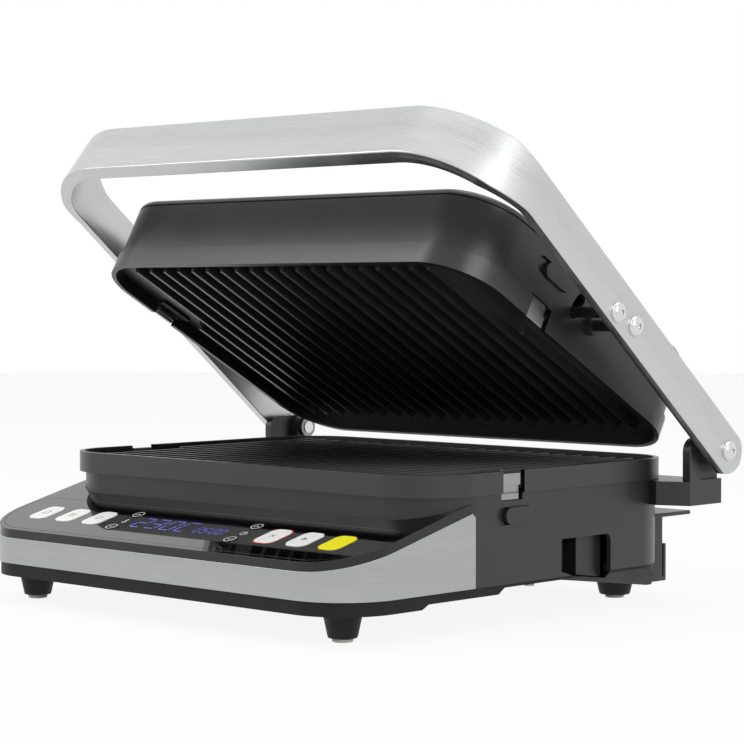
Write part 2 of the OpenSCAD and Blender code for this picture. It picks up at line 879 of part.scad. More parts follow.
module grease_chute() {
    color([0.6, 0.6, 0.6]) placed() difference() {
        intersection() {
            chute_bore(drain_r + 1.8);
            layer(tray_z + tray_h + 1, lower_floor_z) square(BIG, center = true);
        }
        chute_bore(drain_r + 0.6);
    }
}

module lower_heater() {
    color([0.3, 0.28, 0.27]) placed()
        translate([0, 0, lower_floor_z - heater_r - RUN]) heating_loops(heater_front, heater_rear);
}

// Pan of thin sheet with a flange, its flange's underside at z = 0 and its floor at -depth
module reflector(depth, y0, y1, hole_x) {
    sheet = 0.8;
    flange = 6;
    w = body_w - 2*(shell_wall + FIT);
    difference() {
        union() {
            layer(0, sheet) round_rect(w, y0, y1, corner_r - shell_wall - FIT);
            layer(-depth, sheet) round_rect(w - 2*flange, y0 + flange, y1 - flange, corner_r - 1.5*flange);
        }
        layer(-depth + sheet, 2*sheet) round_rect(w - 2*(flange + sheet), y0 + flange + sheet,
            y1 - flange - sheet, corner_r - 1.5*flange - sheet);
        for (x = hole_x) translate([x, drain_y, -BIG/2]) cylinder(h = BIG, r = drain_r + 3);
        both_sides()
            translate([rim_w/2 - 12, clip_y - clip_w/2 - 5, -BIG/2]) cube([16, clip_w + 8, BIG]);
    }
}

module lower_reflector() {
    color([0.75, 0.75, 0.74]) placed() translate([0, 0, ledge_z])
        reflector(6, collar_setback + shell_wall + FIT, body_back - shell_wall - FIT, [drain_x]);
}

thermostat = [28, 18, 7];
thermostat_y = rim_d/2 - 7;

module lower_thermostat() {
    color([0.85, 0.82, 0.75]) placed()
        translate([-thermostat.x/2, thermostat_y, lower_floor_z - thermostat.z]) cube(thermostat);
}

// Hooks that stand in the notches of the lower plate: a fixed one on the left
module lower_clips() {
    color([0.62, 0.63, 0.62]) placed() translate([0, 0, rim_z]) mirror([1, 0, 0]) clip_at(-3.7, 10.6, 3);
}

// The right clip of a plate, in the plate's own heights: z = 0 at the foot of the plate's rim
module clip_at(foot_z, top_z, foot_t) {
    y0 = clip_y - clip_w/2;
    shank_t = 1;
    face_h = 6.3;
    translate([clip_x, y0, foot_z]) cube([shank_t, clip_w, top_z - foot_z]);
    translate([clip_x, y0, top_z - face_h]) cube([clip_t, clip_w, face_h]);
    translate([clip_x - 1.3, y0, ledge_h + RUN]) cube([1.4, clip_w, 3]);
    translate([clip_x - 5, y0, foot_z]) cube([5.1, clip_w, foot_t]);
}

module base_latch() {
    color([0.62, 0.63, 0.62]) placed() translate([0, 0, rim_z]) clip_at(-3.7, 10.6, 3);
}

// A button in (y, z) on the right side: cap, flange and stem
module release_button(y, z, cap_x, inner_x) {
    along_x(inner_x - RUN - flange_t, cap_x) translate([y, z]) stadium(button_l - 2*FIT, button_h - 2*FIT);
    along_x(inner_x - RUN - flange_t, inner_x - RUN)
        translate([y, z]) square([button_l + 2, button_h + 2], center = true);
    rod_x(inner_x - flange_t - button_travel - 3, inner_x - RUN - flange_t, y, z, stem_r);
}

flange_t = 2;
stem_r = 1.8;

module base_button() {
    color([0.2, 0.2, 0.21]) placed()
        release_button(button_y, base_button_z, button_top_x, body_w/2 - shell_wall);
}

// Spring seat of a button: a cup that the button's stem runs in, with room for a spring at its end
module spring_seat(y, z, inner_x) {
    cup_x = inner_x - flange_t - button_travel - 1.1;
    drop = button_h/2 + 3.5;
    difference() {
        union() {
            rod_x(cup_x - 9, cup_x, y, z, stem_r + 1.6);
            translate([cup_x - 9, y - 2, z - drop]) cube([9, 4, drop - 2]);
            translate([cup_x - 9, y - 8, z - drop]) cube([inner_x - cup_x + 9, 16, 1.8]);
        }
        rod_x(cup_x - 7, inner_x, y, z, stem_r + RUN);
    }
}

module base_spring_cup() {
    color([0.7, 0.7, 0.7]) placed() spring_seat(button_y, base_button_z, body_w/2 - shell_wall);
}

tray_recess = 7;           // how far the tray's face lies inside the opening
tray_face_t = 10;          // depth of the finger slot beside the face
tray_slot_w = 21.5;        // width of the finger slot
tray_face_x = body_w/2 - tray_recess;

module drip_tray() {
    x0 = tray_face_x - tray_l;
    end_x = tray_face_x - tray_face_t;
    floor_t = RUN + tray_wall;
    color([0.2, 0.2, 0.21]) placed() difference() {
        union() {
            along_x(x0, end_x) tray_outline(RUN);
            intersection() {
                along_x(end_x, tray_face_x) tray_mouth(-RUN);
                translate([0, tray_y + tray_slot_w, 0]) cube(BIG);
            }
        }
        along_x(x0 + tray_wall, end_x - tray_wall) {
            tray_outline(floor_t);
            translate([tray_y + floor_t, tray_z + tray_h/2]) square([tray_w - 2*floor_t, BIG]);
        }
    }
}

module tray_guide() {
    guide_t = 2;
    x1 = tray_face_x - tray_face_t - 1;
    l = tray_l - 20;
    back_y = tray_y + tray_w + FIT;
    floor_y = sump_front + (pan_high_z + pan_wall + FIT - tray_z + guide_t)/sump_slope;
    color([0.3, 0.3, 0.31]) placed() {
        translate([x1 - l, floor_y, tray_z - guide_t]) cube([l, back_y + guide_t - floor_y, guide_t]);
        translate([x1 - l, back_y, tray_z - guide_t]) cube([l, guide_t, tray_h/2]);
        // front rail, on the pan
        translate([x1 - l, tray_y - FIT - guide_t, pan_high_z + pan_wall]) cube([l, guide_t, tray_h/2]);
        for (x = [-100, 100], y = [floor_y + 5, back_y - 5])
            on_pan() translate([x, y, 0]) cylinder(h = tray_z - guide_t, r = 4);
    }
}

power_w = 90;
power_d = 38;
power_x = -60;
power_y = 168;
spacer_h = 8;

// The mains board on four spacers, with its relay and its transformer
module power_board() {
    floor_z = sump_z + pan_wall;
    top_z = floor_z + spacer_h + board_t;
    relay = [24, 18, 15];
    transformer = [20, 22, 22];
    color([0.1, 0.35, 0.2]) placed() {
        translate([power_x, power_y, 0]) {
            translate([0, 0, top_z - board_t]) cube([power_w, power_d, board_t]);
            translate([15, 8, top_z]) cube(relay);
            translate([52, 8, top_z]) cube(transformer);
        }
        for (x = [6, power_w - 6], y = [5, power_d - 5]) on_pan()
            translate([power_x + x, power_y + y, 0]) cylinder(h = floor_z + spacer_h, r = 3);
    }
}

gland_x = 60;
gland_z = 40;
gland_r = 7;

module terminal_block() {
    block = [28, 16, sump_z + pan_wall + 18];
    color([0.9, 0.9, 0.88]) placed() on_pan()
        translate([gland_x - block.x/2, power_y + 4, 0]) cube(block);
}

module gland_cut() {
    translate([gland_x, body_back + 1, gland_z]) rotate([90, 0, 0]) cylinder(h = 3*shell_wall, r = gland_r);
}

module cord_gland() {
    color([0.1, 0.1, 0.1]) placed() difference() {
        union() {
            translate([gland_x, body_back + 5, gland_z]) rotate([90, 0, 0])
                cylinder(h = 5 - FIT, r = gland_r + 2);
            translate([gland_x, body_back + 1, gland_z]) rotate([90, 0, 0])
                cylinder(h = shell_wall + 4, r = gland_r - 0.1);
        }
        translate([gland_x, body_back + 6, gland_z]) rotate([90, 0, 0]) cylinder(h = 20, r = 3.6);
    }
}

hook_x = 116;
hook_top_w = 28;           // width of the upper flange
hook_low_w = 23;           // width of the lower bracket and its lip
hook_z = 9.5;
hook_top_z = 48.2;
hook_lip_h = 22.2;
hook_lip_out = 6.5;        // how far the lip stands out behind
hook_post_w = 6;

module cord_hooks() {
    lip = 2.4;
    y0 = body_back - corner_r/2;
    lip_y = body_back + hook_lip_out - lip;
    color([0.1, 0.1, 0.1]) placed() both_sides() difference() {
        translate([hook_x, 0, 0]) {
            along_x(0, hook_low_w) {
                translate([y0, hook_z]) square([lip_y + lip - y0, lip]);
                translate([lip_y, hook_z]) square([lip, hook_lip_h]);
            }
            translate([0, y0, hook_top_z]) cube([hook_top_w, body_back + hook_reach - y0, lip]);
            translate([hook_low_w - hook_post_w, y0, hook_z])
                cube([hook_post_w, body_back + 3 - y0, hook_top_z - hook_z + lip/2]);
        }
        layer(0, BIG) body_outline(-0.05);
    }
}

// ---- hinge ----

module hinge_block() {
    back_x = body_w/2 - 28;
    nose_x = body_w/2 + 5.3;
    difference() {
        union() {
            // block that wraps the corner of the housing
            layer(block_z, block_top) polygon([
                [back_x, block_front + 1.8],
                [body_w/2, block_front + 1.8],
                [nose_x, block_front],
                [block_x, ear_front],
                [block_x, block_back],
                [back_x, block_back]
            ]);
            along_x(ear_in_x, block_x) ear_side(ear_front);
            along_x(boss_in_x, ear_in_x + 1) ear_side(hinge_y - boss_side);
        }
        layer(0, BIG) body_outline(-0.05);
        // shallow pocket in the ear's face, and the pivot's bore
        along_x(block_x - ear_pocket_d, block_x + 1)
            translate([ear_front + ear_lip, block_top + 0.6]) ear_pocket();
        rod_x(0, BIG, hinge_y, hinge_z, pivot_r + pin_play);
        for (y = hinge_screw_y) rod_x(0, body_w/2 + 9, y, hinge_screw_z, screw_r);
    }
}

// Outline of the ear from the side, in (y, z), from y0 back, round about the pivot
module ear_side(y0) {
    translate([y0, block_z]) square([block_back - y0, ear_top - boss_side - block_z]);
    if (y0 + boss_side < hinge_y) {
        translate([y0 + boss_side, block_z]) square([hinge_y - y0 - boss_side, ear_top - block_z]);
        translate([y0 + boss_side, ear_top - boss_side]) circle(boss_side);
    }
    translate([hinge_y, hinge_z]) circle(boss_side);
}

module ear_pocket() {
    translate([0, ear_pocket_r]) square([BIG/4, BIG/4]);
    translate([ear_pocket_r, 0]) square([BIG/4, BIG/4]);
    translate([ear_pocket_r, ear_pocket_r]) circle(ear_pocket_r);
}

module hinge_block_right() {
    color([0.36, 0.36, 0.36]) placed() hinge_block();
}

module hinge_block_left() {
    color([0.36, 0.36, 0.36]) placed() mirror([1, 0, 0]) hinge_block();
}

module pivot_washers() {
    color([0.85, 0.85, 0.8]) placed() both_sides() difference() {
        rod_x(block_x - ear_pocket_d, arm_in_x - FIT, hinge_y, hinge_z, washer_r);
        rod_x(0, BIG, hinge_y, hinge_z, pivot_r + 2*pin_play);
    }
}

module handle() {
    side_r = arm_w/2 + 1;
    neck = arm_reach - bend_r + 6;
    color([0.74, 0.74, 0.74]) on_arm() difference() {
        intersection() {
            difference() {
                layer(-grip_w, grip_w) arm_plan(arm_span, arm_reach, bend_r);
                layer(-grip_w - 1, grip_w + 1)
                    arm_plan(arm_span - 2*arm_t, arm_reach - grip_t, bend_r - (arm_t + grip_t)/2);
            }
            along_x(-BIG/2, BIG/2) union() {
                intersection() {
                    translate([-neck, -arm_w/2]) square([neck + side_r, arm_w]);
                    union() {
                        circle(side_r);
                        translate([-neck, -arm_w/2]) square([neck, arm_w]);
                    }
                }
                polygon([
                    [-neck, -arm_w/2], [-neck, arm_w/2],
                    [-arm_reach + bend_r/2, grip_w/2], [-arm_reach - 1, grip_w/2],
                    [-arm_reach - 1, -grip_w/2], [-arm_reach + bend_r/2, -grip_w/2]
                ]);
            }
        }
        rod_x(-BIG/2, BIG/2, 0, 0, pivot_r);
        for (pin = [[lid_pin_a, lid_pin_n], [guide_pin_a, guide_pin_n]])
            rod_x(-BIG/2, BIG/2, -pin[0], pin[1], lid_screw_r);
    }
}

lid_screw_r = 2;

// The U of the handle from above: open at the pivot end
module arm_plan(w, reach, r) {
    translate([-w/2, -reach + r]) square([w, reach - r + 2*arm_w]);
    translate([-w/2 + r, -reach]) square([w - 2*r, r + 1]);
    for (s = [-1, 1]) translate([s*(w/2 - r), -reach + r]) circle(r);
}

module pivot_screws() {
    color([0.82, 0.82, 0.82]) on_arm() both_sides()
        arm_screw(0, 0, pivot_r, arm_span/2 - boss_in_x + 3);
}

nut_r = 6.4;

module pivot_nuts() {
    color([0.6, 0.6, 0.6]) on_arm() both_sides() difference() {
        rod_x(boss_in_x - 2.4, boss_in_x - RUN, 0, 0, nut_r);
        rod_x(0, BIG, 0, 0, pivot_r);
    }
}

module lid_screws() {
    color([0.82, 0.82, 0.82]) on_arm() both_sides() {
        arm_screw(lid_pin_a, lid_pin_n, lid_screw_r, arm_t + 5);
        arm_screw(guide_pin_a, guide_pin_n, lid_screw_r, arm_t + 5);
    }
}

module lid_pins() {
    reach_in = lid_side_x - lid_wall - 1;
    color([0.3, 0.3, 0.31]) on_arm() both_sides()
        for (pin = [[lid_pin_a, lid_pin_n], [guide_pin_a, guide_pin_n]]) difference() {
            rod_x(reach_in, arm_in_x, -pin[0], pin[1], lid_pin_r);
            rod_x(arm_in_x - 5, BIG, -pin[0], pin[1], lid_screw_r);
        }
}

// ---- lid ----

// Block with upright round corners and rounded top edges, standing on z = 0
module lid_block(w, d, h, r, e) {
    layer(0, h - e) round_rect(w, 0, d, r);
    layer(0, h) round_rect(w - 2*e, e, d - e, r - e);
    for (y = [e, d - e])
        rod_x(-w/2 + r, w/2 - r, y, h - e, e);
    for (x = [-w/2 + e, w/2 - e])
        translate([x, d - r, h - e]) rotate([90, 0, 0]) cylinder(h = d - 2*r, r = e);
    for (x = [-w/2 + r, w/2 - r], y = [r, d - r])
        translate([x, y, h - e]) rotate_extrude() translate([r - e, 0]) intersection() {
            circle(e);
            translate([-e, -e]) square([2*e, 2*e]);
        }
}

lid_slope = atan2(lid_crown, rim_d);
groove_down = 4.2;         // from the lid's top to the groove under its cover
groove_h = 0.9;
groove_d = 0.8;

module lid_housing(d) {
    w = rim_w - 2*(lid_inset + d);
    intersection() {
        translate([0, lid_front + lid_inset + d, lid_body_z]) rotate([lid_slope, 0, 0])
            translate([0, 0, -10]) lid_block(w, rim_d - 2*(lid_inset + d), lid_front_h + 10 - d,
                corner_r - lid_inset - d, lid_edge_r - d/3);
        layer(lid_body_z - (d > 0 ? 1 : 0), BIG) square(2*BIG, center = true);
    }
}

// Groove round the lid under its cover
module lid_groove() {
    w = rim_w - 2*lid_inset;
    d = rim_d - 2*lid_inset;
    r = corner_r - lid_inset;
    top = lid_front_h - groove_down;
    translate([0, lid_front + lid_inset, lid_body_z]) rotate([lid_slope, 0, 0])
        layer(top - groove_h, top) difference() {
            round_rect(w + 2, -1, d + 1, r + 1);
            round_rect(w - 2*groove_d, groove_d, d - groove_d, r - groove_d);
        }
}

module lid_shell() {
    color([0.17, 0.17, 0.18]) on_lid() difference() {
        union() {
            difference() {
                lid_housing(0);
                lid_housing(lid_wall);
            }
            // bosses round the pins the lid turns on
            both_sides() rod_x(lid_side_x - lid_wall - 3, lid_side_x + 3, lid_pin_y, lid_pin_z, lid_boss_r);
        }
        both_sides() {
            rod_x(lid_side_x - 20, BIG, lid_pin_y, lid_pin_z, lid_pin_r + pin_play);
            along_x(lid_side_x - 2*lid_wall, BIG) guide_slot(lid_pin_r + RUN);
        }
        lid_groove();
        // recess and bore of the release button
        along_x(lid_side_x - 3*lid_wall, BIG/2)
            translate([lid_button_y, lid_body_z + lid_button_w]) stadium(button_l + 2*FIT, button_h);
        along_x(lid_side_x - lid_wall/2, BIG/2)
            translate([lid_recess_y, lid_body_z + lid_button_w]) stadium(recess_l, button_h);
        // room for the clips
        both_sides()
            translate([rim_w/2 - 8, lid_front + clip_y - clip_w/2 - 0.5, lid_body_z - 1])
                cube([16, clip_w + 1, 2.8]);
    }
}

lid_button_y = button_y - 1;
lid_recess_y = lid_button_y - (button_y - recess_y);

// Slot for the guide pin, in (y, z): an arc about the lid's turning pin. Its round ends are a
// hair narrower than the arc, so that no two faces only touch
module guide_slot(r) {
    end_play = 1.5;
    end_ease = 0.1;
    start = guide_angle - end_play;
    end = guide_angle + lid_tilt_max + end_play;
    steps = 24;
    translate([lid_pin_y, lid_pin_z]) {
        intersection() {
            difference() {
                circle(guide_r + r);
                circle(guide_r - r);
            }
            polygon([for (i = [-1 : steps]) i < 0 ? [0, 0] :
                let (t = start + (end - start)*i/steps) 3*guide_r*[-cos(t), sin(t)]]);
        }
        for (t = [start, end]) translate(guide_r*[-cos(t), sin(t)]) circle(r - end_ease);
    }
}

module upper_plate() {
    color([0.24, 0.24, 0.24]) on_lid() translate([0, lid_front, lid_body_z]) mirror([0, 0, 1])
        grill_plate(upper_rim_h, lid_body_z - upper_floor_z - plate_floor);
}

module upper_heater() {
    color([0.3, 0.28, 0.27]) on_lid()
        translate([0, lid_front, upper_floor_z + plate_floor + heater_r + RUN])
            heating_loops(heater_front, heater_rear);
}

module upper_reflector() {
    color([0.75, 0.75, 0.74]) on_lid() translate([0, 0, lid_body_z + RUN]) mirror([0, 0, 1])
        translate([0, 0, -0.8])
            reflector(9, lid_front + lid_inset + 2*lid_wall, lid_back - lid_inset - 2*lid_wall, []);
}

module upper_thermostat() {
    color([0.85, 0.82, 0.75]) on_lid()
        translate([-thermostat.x/2, thermostat_y, upper_floor_z + plate_floor]) cube(thermostat);
}

module upper_clip() {
    translate([0, 0, lid_body_z]) mirror([0, 0, 1]) clip_at(-1.2, upper_rim_h - 0.4, 1);
}

module upper_clips() {
    color([0.62, 0.63, 0.62]) on_lid() translate([0, lid_front, 0]) mirror([1, 0, 0]) upper_clip();
}

module lid_latch() {
    color([0.62, 0.63, 0.62]) on_lid() translate([0, lid_front, 0]) upper_clip();
}

module lid_button() {
    color([0.2, 0.2, 0.21]) on_lid()
        release_button(lid_button_y, lid_body_z + lid_button_w, lid_side_x + 1.6, lid_side_x - lid_wall);
}

module lid_spring_cup() {
    color([0.7, 0.7, 0.7]) on_lid()
        spring_seat(lid_button_y, lid_body_z + lid_button_w, lid_side_x - lid_wall);
}

base_shell();
bottom_pan();
steel_band();
deck_trim();
deck_panel();
display_module();
control_board();
key_switches();
power_board();
terminal_block();
lower_plate();
lower_heater();
lower_reflector();
lower_thermostat();
lower_clips();
front_feet();
rear_feet();
foot_pads();
hinge_block_left();
hinge_block_right();
pivot_washers();
cord_hooks();
cord_gland();
housing_screws();
grease_chute();
tray_guide();
base_button();
base_latch();
base_spring_cup();
drip_tray();
left_key_1();
left_key_2();
left_key_3();
right_key_1();
right_key_2();
right_key_3();
left_up_key();
left_down_key();
right_up_key();
right_down_key();
handle();
pivot_screws();
pivot_nuts();
lid_screws();
lid_pins();
lid_shell();
upper_plate();
upper_heater();
upper_reflector();
upper_thermostat();
upper_clips();
lid_button();
lid_latch();
lid_spring_cup();
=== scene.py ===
"""Looks of an electric indoor grill whose lid stands half open, built round its CAD frame."""
import json
import logging
import math
from collections.abc import Callable, Iterable
from dataclasses import dataclass
from enum import Enum
from functools import cache

import bmesh
import bpy
from mathutils import Matrix, Vector


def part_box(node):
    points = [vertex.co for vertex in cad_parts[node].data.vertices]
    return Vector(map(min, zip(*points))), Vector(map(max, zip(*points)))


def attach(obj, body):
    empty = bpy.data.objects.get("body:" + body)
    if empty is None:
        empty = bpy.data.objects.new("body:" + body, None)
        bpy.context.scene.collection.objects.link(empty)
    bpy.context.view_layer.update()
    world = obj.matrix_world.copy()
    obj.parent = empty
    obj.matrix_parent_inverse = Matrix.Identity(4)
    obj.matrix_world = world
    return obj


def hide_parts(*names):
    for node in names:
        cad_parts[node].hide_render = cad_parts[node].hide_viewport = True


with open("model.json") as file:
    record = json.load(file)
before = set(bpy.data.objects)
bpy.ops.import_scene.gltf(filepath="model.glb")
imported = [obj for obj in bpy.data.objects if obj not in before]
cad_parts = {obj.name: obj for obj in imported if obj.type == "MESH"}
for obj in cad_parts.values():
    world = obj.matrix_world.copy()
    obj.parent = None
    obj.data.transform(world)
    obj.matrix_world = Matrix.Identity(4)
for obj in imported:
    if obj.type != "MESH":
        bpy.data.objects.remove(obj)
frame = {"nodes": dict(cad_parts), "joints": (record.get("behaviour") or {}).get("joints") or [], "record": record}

LOG = logging.getLogger("grill")
MM = 0.001
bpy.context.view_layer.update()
STROKES = "strokes"  # UV map that follows the stock of a brushed piece
Point = tuple[float, float]


def linear(code: str) -> tuple[float, float, float, float]:
    """Turns an sRGB hex colour to linear light.

    Args:
        code: The colour as #rrggbb.

    Returns:
        Red, green, blue and an alpha of 1.
    """
    shares = [int(code[i:i + 2], 16) / 255 for i in (1, 3, 5)]
    red, green, blue = (s / 12.92 if s <= 0.04045 else ((s + 0.055) / 1.055) ** 2.4 for s in shares)
    return red, green, blue, 1.0


def add_node(tree: bpy.types.NodeTree, kind: str, links: dict | None = None, **settings) -> bpy.types.Node:
    """Adds a node to a shader or geometry tree.

    Args:
        tree: The tree that the node joins.
        kind: The node's type, such as ShaderNodeBump.
        links: What each input takes, by its name or number: an output socket to link, or a plain value.
        settings: The node's own properties.

    Returns:
        The new node.
    """
    node = tree.nodes.new(kind)
    for name, value in settings.items():
        setattr(node, name, value)
    for key, value in (links or {}).items():
        if isinstance(value, bpy.types.NodeSocket):
            tree.links.new(value, node.inputs[key])
        else:
            node.inputs[key].default_value = value
    return node


# ---- finishes ----


class Grain(Enum):
    """How a surface was made, which sets the pattern that it carries."""

    MOULDED = "spark-eroded mould texture"
    POLISHED = "polished mould or lapped metal"
    BRUSHED = "abrasive strokes along the stock"
    CAST = "sprayed coat on cast metal"


@dataclass(frozen=True)
class Finish:
    """One real material and the way its surface was made.

    Attributes:
        name: The maker's plain words for it.
        colour: Its colour as #rrggbb.
        roughness: Roughness of the surface under its pattern.
        grain: How the surface was made.
        metallic: 1 for bare metal.
        grain_mm: Size of the finest mark that shows.
        stroke_mm: Length of a mark along the stock, for a brushed finish.
        relief_mm: Height of the marks.
        tone: Share by which the marks lighten and darken the colour.
        wander: Share by which the roughness wanders.
        glow: Strength of its own light.
        ior: Index of refraction of its outer layer, which sets how strongly it mirrors.
    """

    name: str
    colour: str
    roughness: float
    grain: Grain
    metallic: float = 0.0
    grain_mm: float = 0.9
    stroke_mm: float = 28.0
    relief_mm: float = 0.02
    tone: float = 0.06
    wander: float = 0.12
    glow: float = 0.0
    ior: float = 1.5

    def shades(self) -> tuple[tuple, tuple]:
        """Returns the darkest and the lightest colour that the marks give."""
        base = linear(self.colour)[:3]
        dark = tuple(c * (1 - self.tone) for c in base)
        light = tuple(min(c * (1 + self.tone), 1) for c in base)
        return (*dark, 1.0), (*light, 1.0)

    def coordinates(self, tree: bpy.types.NodeTree) -> bpy.types.NodeSocket:
        """Adds the coordinates that the marks follow, one unit to a mark.

        Args:
            tree: The material's node tree.

        Returns:
            The vector output.
        """
        fine = 1 / (self.grain_mm * MM)
        if self.grain is Grain.BRUSHED:
            place = add_node(tree, "ShaderNodeUVMap", uv_map=STROKES).outputs["UV"]
            scale = (1 / (self.stroke_mm * MM), fine, fine)
        else:
            place = add_node(tree, "ShaderNodeTexCoord").outputs["Object"]
            scale = (fine, fine, fine)
        return add_node(tree, "ShaderNodeMapping", {"Vector": place, "Scale": scale}).outputs["Vector"]


@cache
def material(finish: Finish) -> bpy.types.Material:
    """Builds a finish's material once.

    Args:
        finish: The finish to build.

    Returns:
        The material, the same one each time.
    """
    made = bpy.data.materials.new(finish.name)
    made.use_nodes = True
    tree = made.node_tree
    tree.nodes.clear()
    place = finish.coordinates(tree)
    marks = add_node(tree, "ShaderNodeTexNoise",
                     {"Vector": place, "Scale": 1.0, "Detail": 3.0, "Roughness": 0.6}).outputs["Fac"]
    broad = add_node(tree, "ShaderNodeTexNoise",
                     {"Vector": place, "Scale": 0.035, "Detail": 2.0}).outputs["Fac"]
    both = add_node(tree, "ShaderNodeMath", {0: marks, 1: broad}, operation="ADD").outputs[0]
    spread = add_node(tree, "ShaderNodeMapRange",
                      {"Value": both, "From Min": 0.75, "From Max": 1.25}).outputs["Result"]
    dark, light = finish.shades()
    tint = colour_ramp(tree, spread, dark, light)
    rough = add_node(tree, "ShaderNodeMapRange", {
        "Value": both, "From Min": 0.75, "From Max": 1.25,
        "To Min": finish.roughness * (1 - finish.wander),
        "To Max": finish.roughness * (1 + finish.wander)}).outputs["Result"]
    bump = add_node(tree, "ShaderNodeBump",
                    {"Height": marks, "Strength": 0.5, "Distance": finish.relief_mm * MM}).outputs["Normal"]
    shader = add_node(tree, "ShaderNodeBsdfPrincipled", {
        "Base Color": tint, "Roughness": rough, "Normal": bump,
        "Metallic": finish.metallic, "IOR": finish.ior})
    if finish.glow:
        shader.inputs["Emission Color"].default_value = linear(finish.colour)
        shader.inputs["Emission Strength"].default_value = finish.glow
    if finish.grain is Grain.BRUSHED:
        shader.inputs["Anisotropic"].default_value = 0.6
        tangent = add_node(tree, "ShaderNodeTangent", direction_type="UV_MAP", uv_map=STROKES)
        tree.links.new(tangent.outputs["Tangent"], shader.inputs["Tangent"])
    add_node(tree, "ShaderNodeOutputMaterial", {"Surface": shader.outputs["BSDF"]})
    return made


def colour_ramp(tree: bpy.types.NodeTree, share: bpy.types.NodeSocket, dark: tuple,
                light: tuple) -> bpy.types.NodeSocket:
    """Adds a ramp from one colour to another.

    Args:
        tree: The material's node tree.
        share: Where on the ramp each point lies, from 0 to 1.
        dark: Colour at 0.
        light: Colour at 1.

    Returns:
        The colour output.
    """
    ramp = add_node(tree, "ShaderNodeValToRGB", {"Fac": share})
    ramp.color_ramp.elements[0].color = dark
    ramp.color_ramp.elements[1].color = light
    return ramp.outputs["Color"]


# Glass-filled nylon from a fine-textured mould: nearly black, with a soft sheen on its edges
HOUSING = Finish("moulded_nylon_black", "#252526", 0.33, Grain.MOULDED)
# Moulded black plastic for what faces the table, duller than the housing; its colour is darker than the housing's,
# which is painted shade for the underside
PAN_PAINTED_SHADE = Finish("moulded_polypropylene_dark", "#0d0d0e", 0.55, Grain.MOULDED, relief_mm=0.03, ior=1.35)
# ABS from a polished mould: a deep black that mirrors the white room at a low angle
GLOSS = Finish("polished_abs_black", "#070708", 0.035, Grain.POLISHED,
               grain_mm=14, relief_mm=0.003, tone=0.02)
# Cast aluminium under a sprayed ceramic coat: nearly black, with crests and rims that catch the light
COATED = Finish("ceramic_coated_cast_aluminium", "#1a1a1b", 0.34, Grain.CAST, grain_mm=1.1, relief_mm=0.05,
                tone=0.1, ior=1.6)
# Aluminium bar brushed along its length: pale, with fine strokes that turn with the bends
BAR = Finish("brushed_aluminium_bar", "#c4c6c6", 0.3, Grain.BRUSHED, metallic=1, grain_mm=0.7, stroke_mm=26,
             relief_mm=0.03, tone=0.05, wander=0.18)
# Stainless strip brushed along the band, greyer than the bar
BAND = Finish("brushed_stainless_strip", "#abadac", 0.27, Grain.BRUSHED, metallic=1, grain_mm=0.6,
              stroke_mm=22, relief_mm=0.03, tone=0.07, wander=0.2)
# Turned and lapped stainless: screw heads that mirror the room
TURNED = Finish("lapped_stainless_screw", "#d6d6d6", 0.14, Grain.POLISHED, metallic=1, grain_mm=2, tone=0.03)
# Pressed steel, tumbled: dull bright clips
PRESSED = Finish("tumbled_spring_steel", "#9a9c9b", 0.34, Grain.CAST, metallic=1, grain_mm=0.8)
# Drawn heater tube, blued by its own heat
HEATED = Finish("heat_blued_steel_tube", "#5a524c", 0.4, Grain.CAST, metallic=1, grain_mm=2.5, tone=0.2)
# Rolled aluminium sheet behind the heaters
SHEET = Finish("rolled_aluminium_sheet", "#c4c4c2", 0.25, Grain.CAST, metallic=1, grain_mm=1.5)
# Oxide-blackened steel of the pins that carry the lid
BLACKED = Finish("blackened_steel_pin", "#1a1a1b", 0.3, Grain.POLISHED, metallic=0.4, grain_mm=1.5)
# Zinc-plated screws, nuts and switch frames
PLATED = Finish("zinc_plated_steel_pin", "#8c8c8e", 0.3, Grain.POLISHED, metallic=1, grain_mm=1.5)
# Silicone pads, milky and soft
SILICONE = Finish("moulded_silicone_milky", "#dcdcd6", 0.5, Grain.MOULDED)
# Black rubber of the cord's grommet
RUBBER = Finish("moulded_rubber_black", "#171717", 0.6, Grain.MOULDED, relief_mm=0.04)
# Satin ABS key caps
KEY_WHITE = Finish("satin_abs_white", "#f7f7f5", 0.32, Grain.MOULDED, tone=0.01)
KEY_YELLOW = Finish("satin_abs_yellow", "#fbf000", 0.32, Grain.MOULDED, tone=0.01)
# Glass-fibre board under green solder mask
BOARD = Finish("green_circuit_board", "#1c5a36", 0.45, Grain.CAST, grain_mm=1.5)
# Steatite of the terminal block and the thermostats
CERAMIC = Finish("fired_steatite", "#e2dccb", 0.5, Grain.CAST, grain_mm=0.7)
# Nylon bushes at the pivots
NYLON = Finish("turned_nylon_natural", "#dad8cc", 0.4, Grain.MOULDED)
# Printed inks on the deck and the keys
INK_WHITE = Finish("screen_printed_white_ink", "#e8e8e8", 0.45, Grain.POLISHED, grain_mm=0.5)
INK_GREY = Finish("screen_printed_grey_ink", "#77787a", 0.45, Grain.POLISHED, grain_mm=0.5)
INK_RED = Finish("screen_printed_red_ink", "#c2283e", 0.45, Grain.POLISHED, grain_mm=0.5)
# Smoked window over the display: a blue-black patch in the black deck
WINDOW = Finish("smoked_display_window", "#0b0b16", 0.06, Grain.POLISHED, grain_mm=14, relief_mm=0.002)
# Lit segments behind the smoked window
LIT = Finish("lit_display_segment", "#5f60bd", 0.3, Grain.POLISHED, grain_mm=2, glow=0.3)


# ---- mesh tools ----


def link(name: str, mesh: bpy.types.Mesh) -> bpy.types.Object:
    """Puts a mesh in the scene as an object at the origin.

    Args:
        name: The piece's name.
        mesh: Its mesh, already in place.

    Returns:
        The new object.
    """
    piece = bpy.data.objects.new(name, mesh)
    bpy.context.scene.collection.objects.link(piece)
    return piece


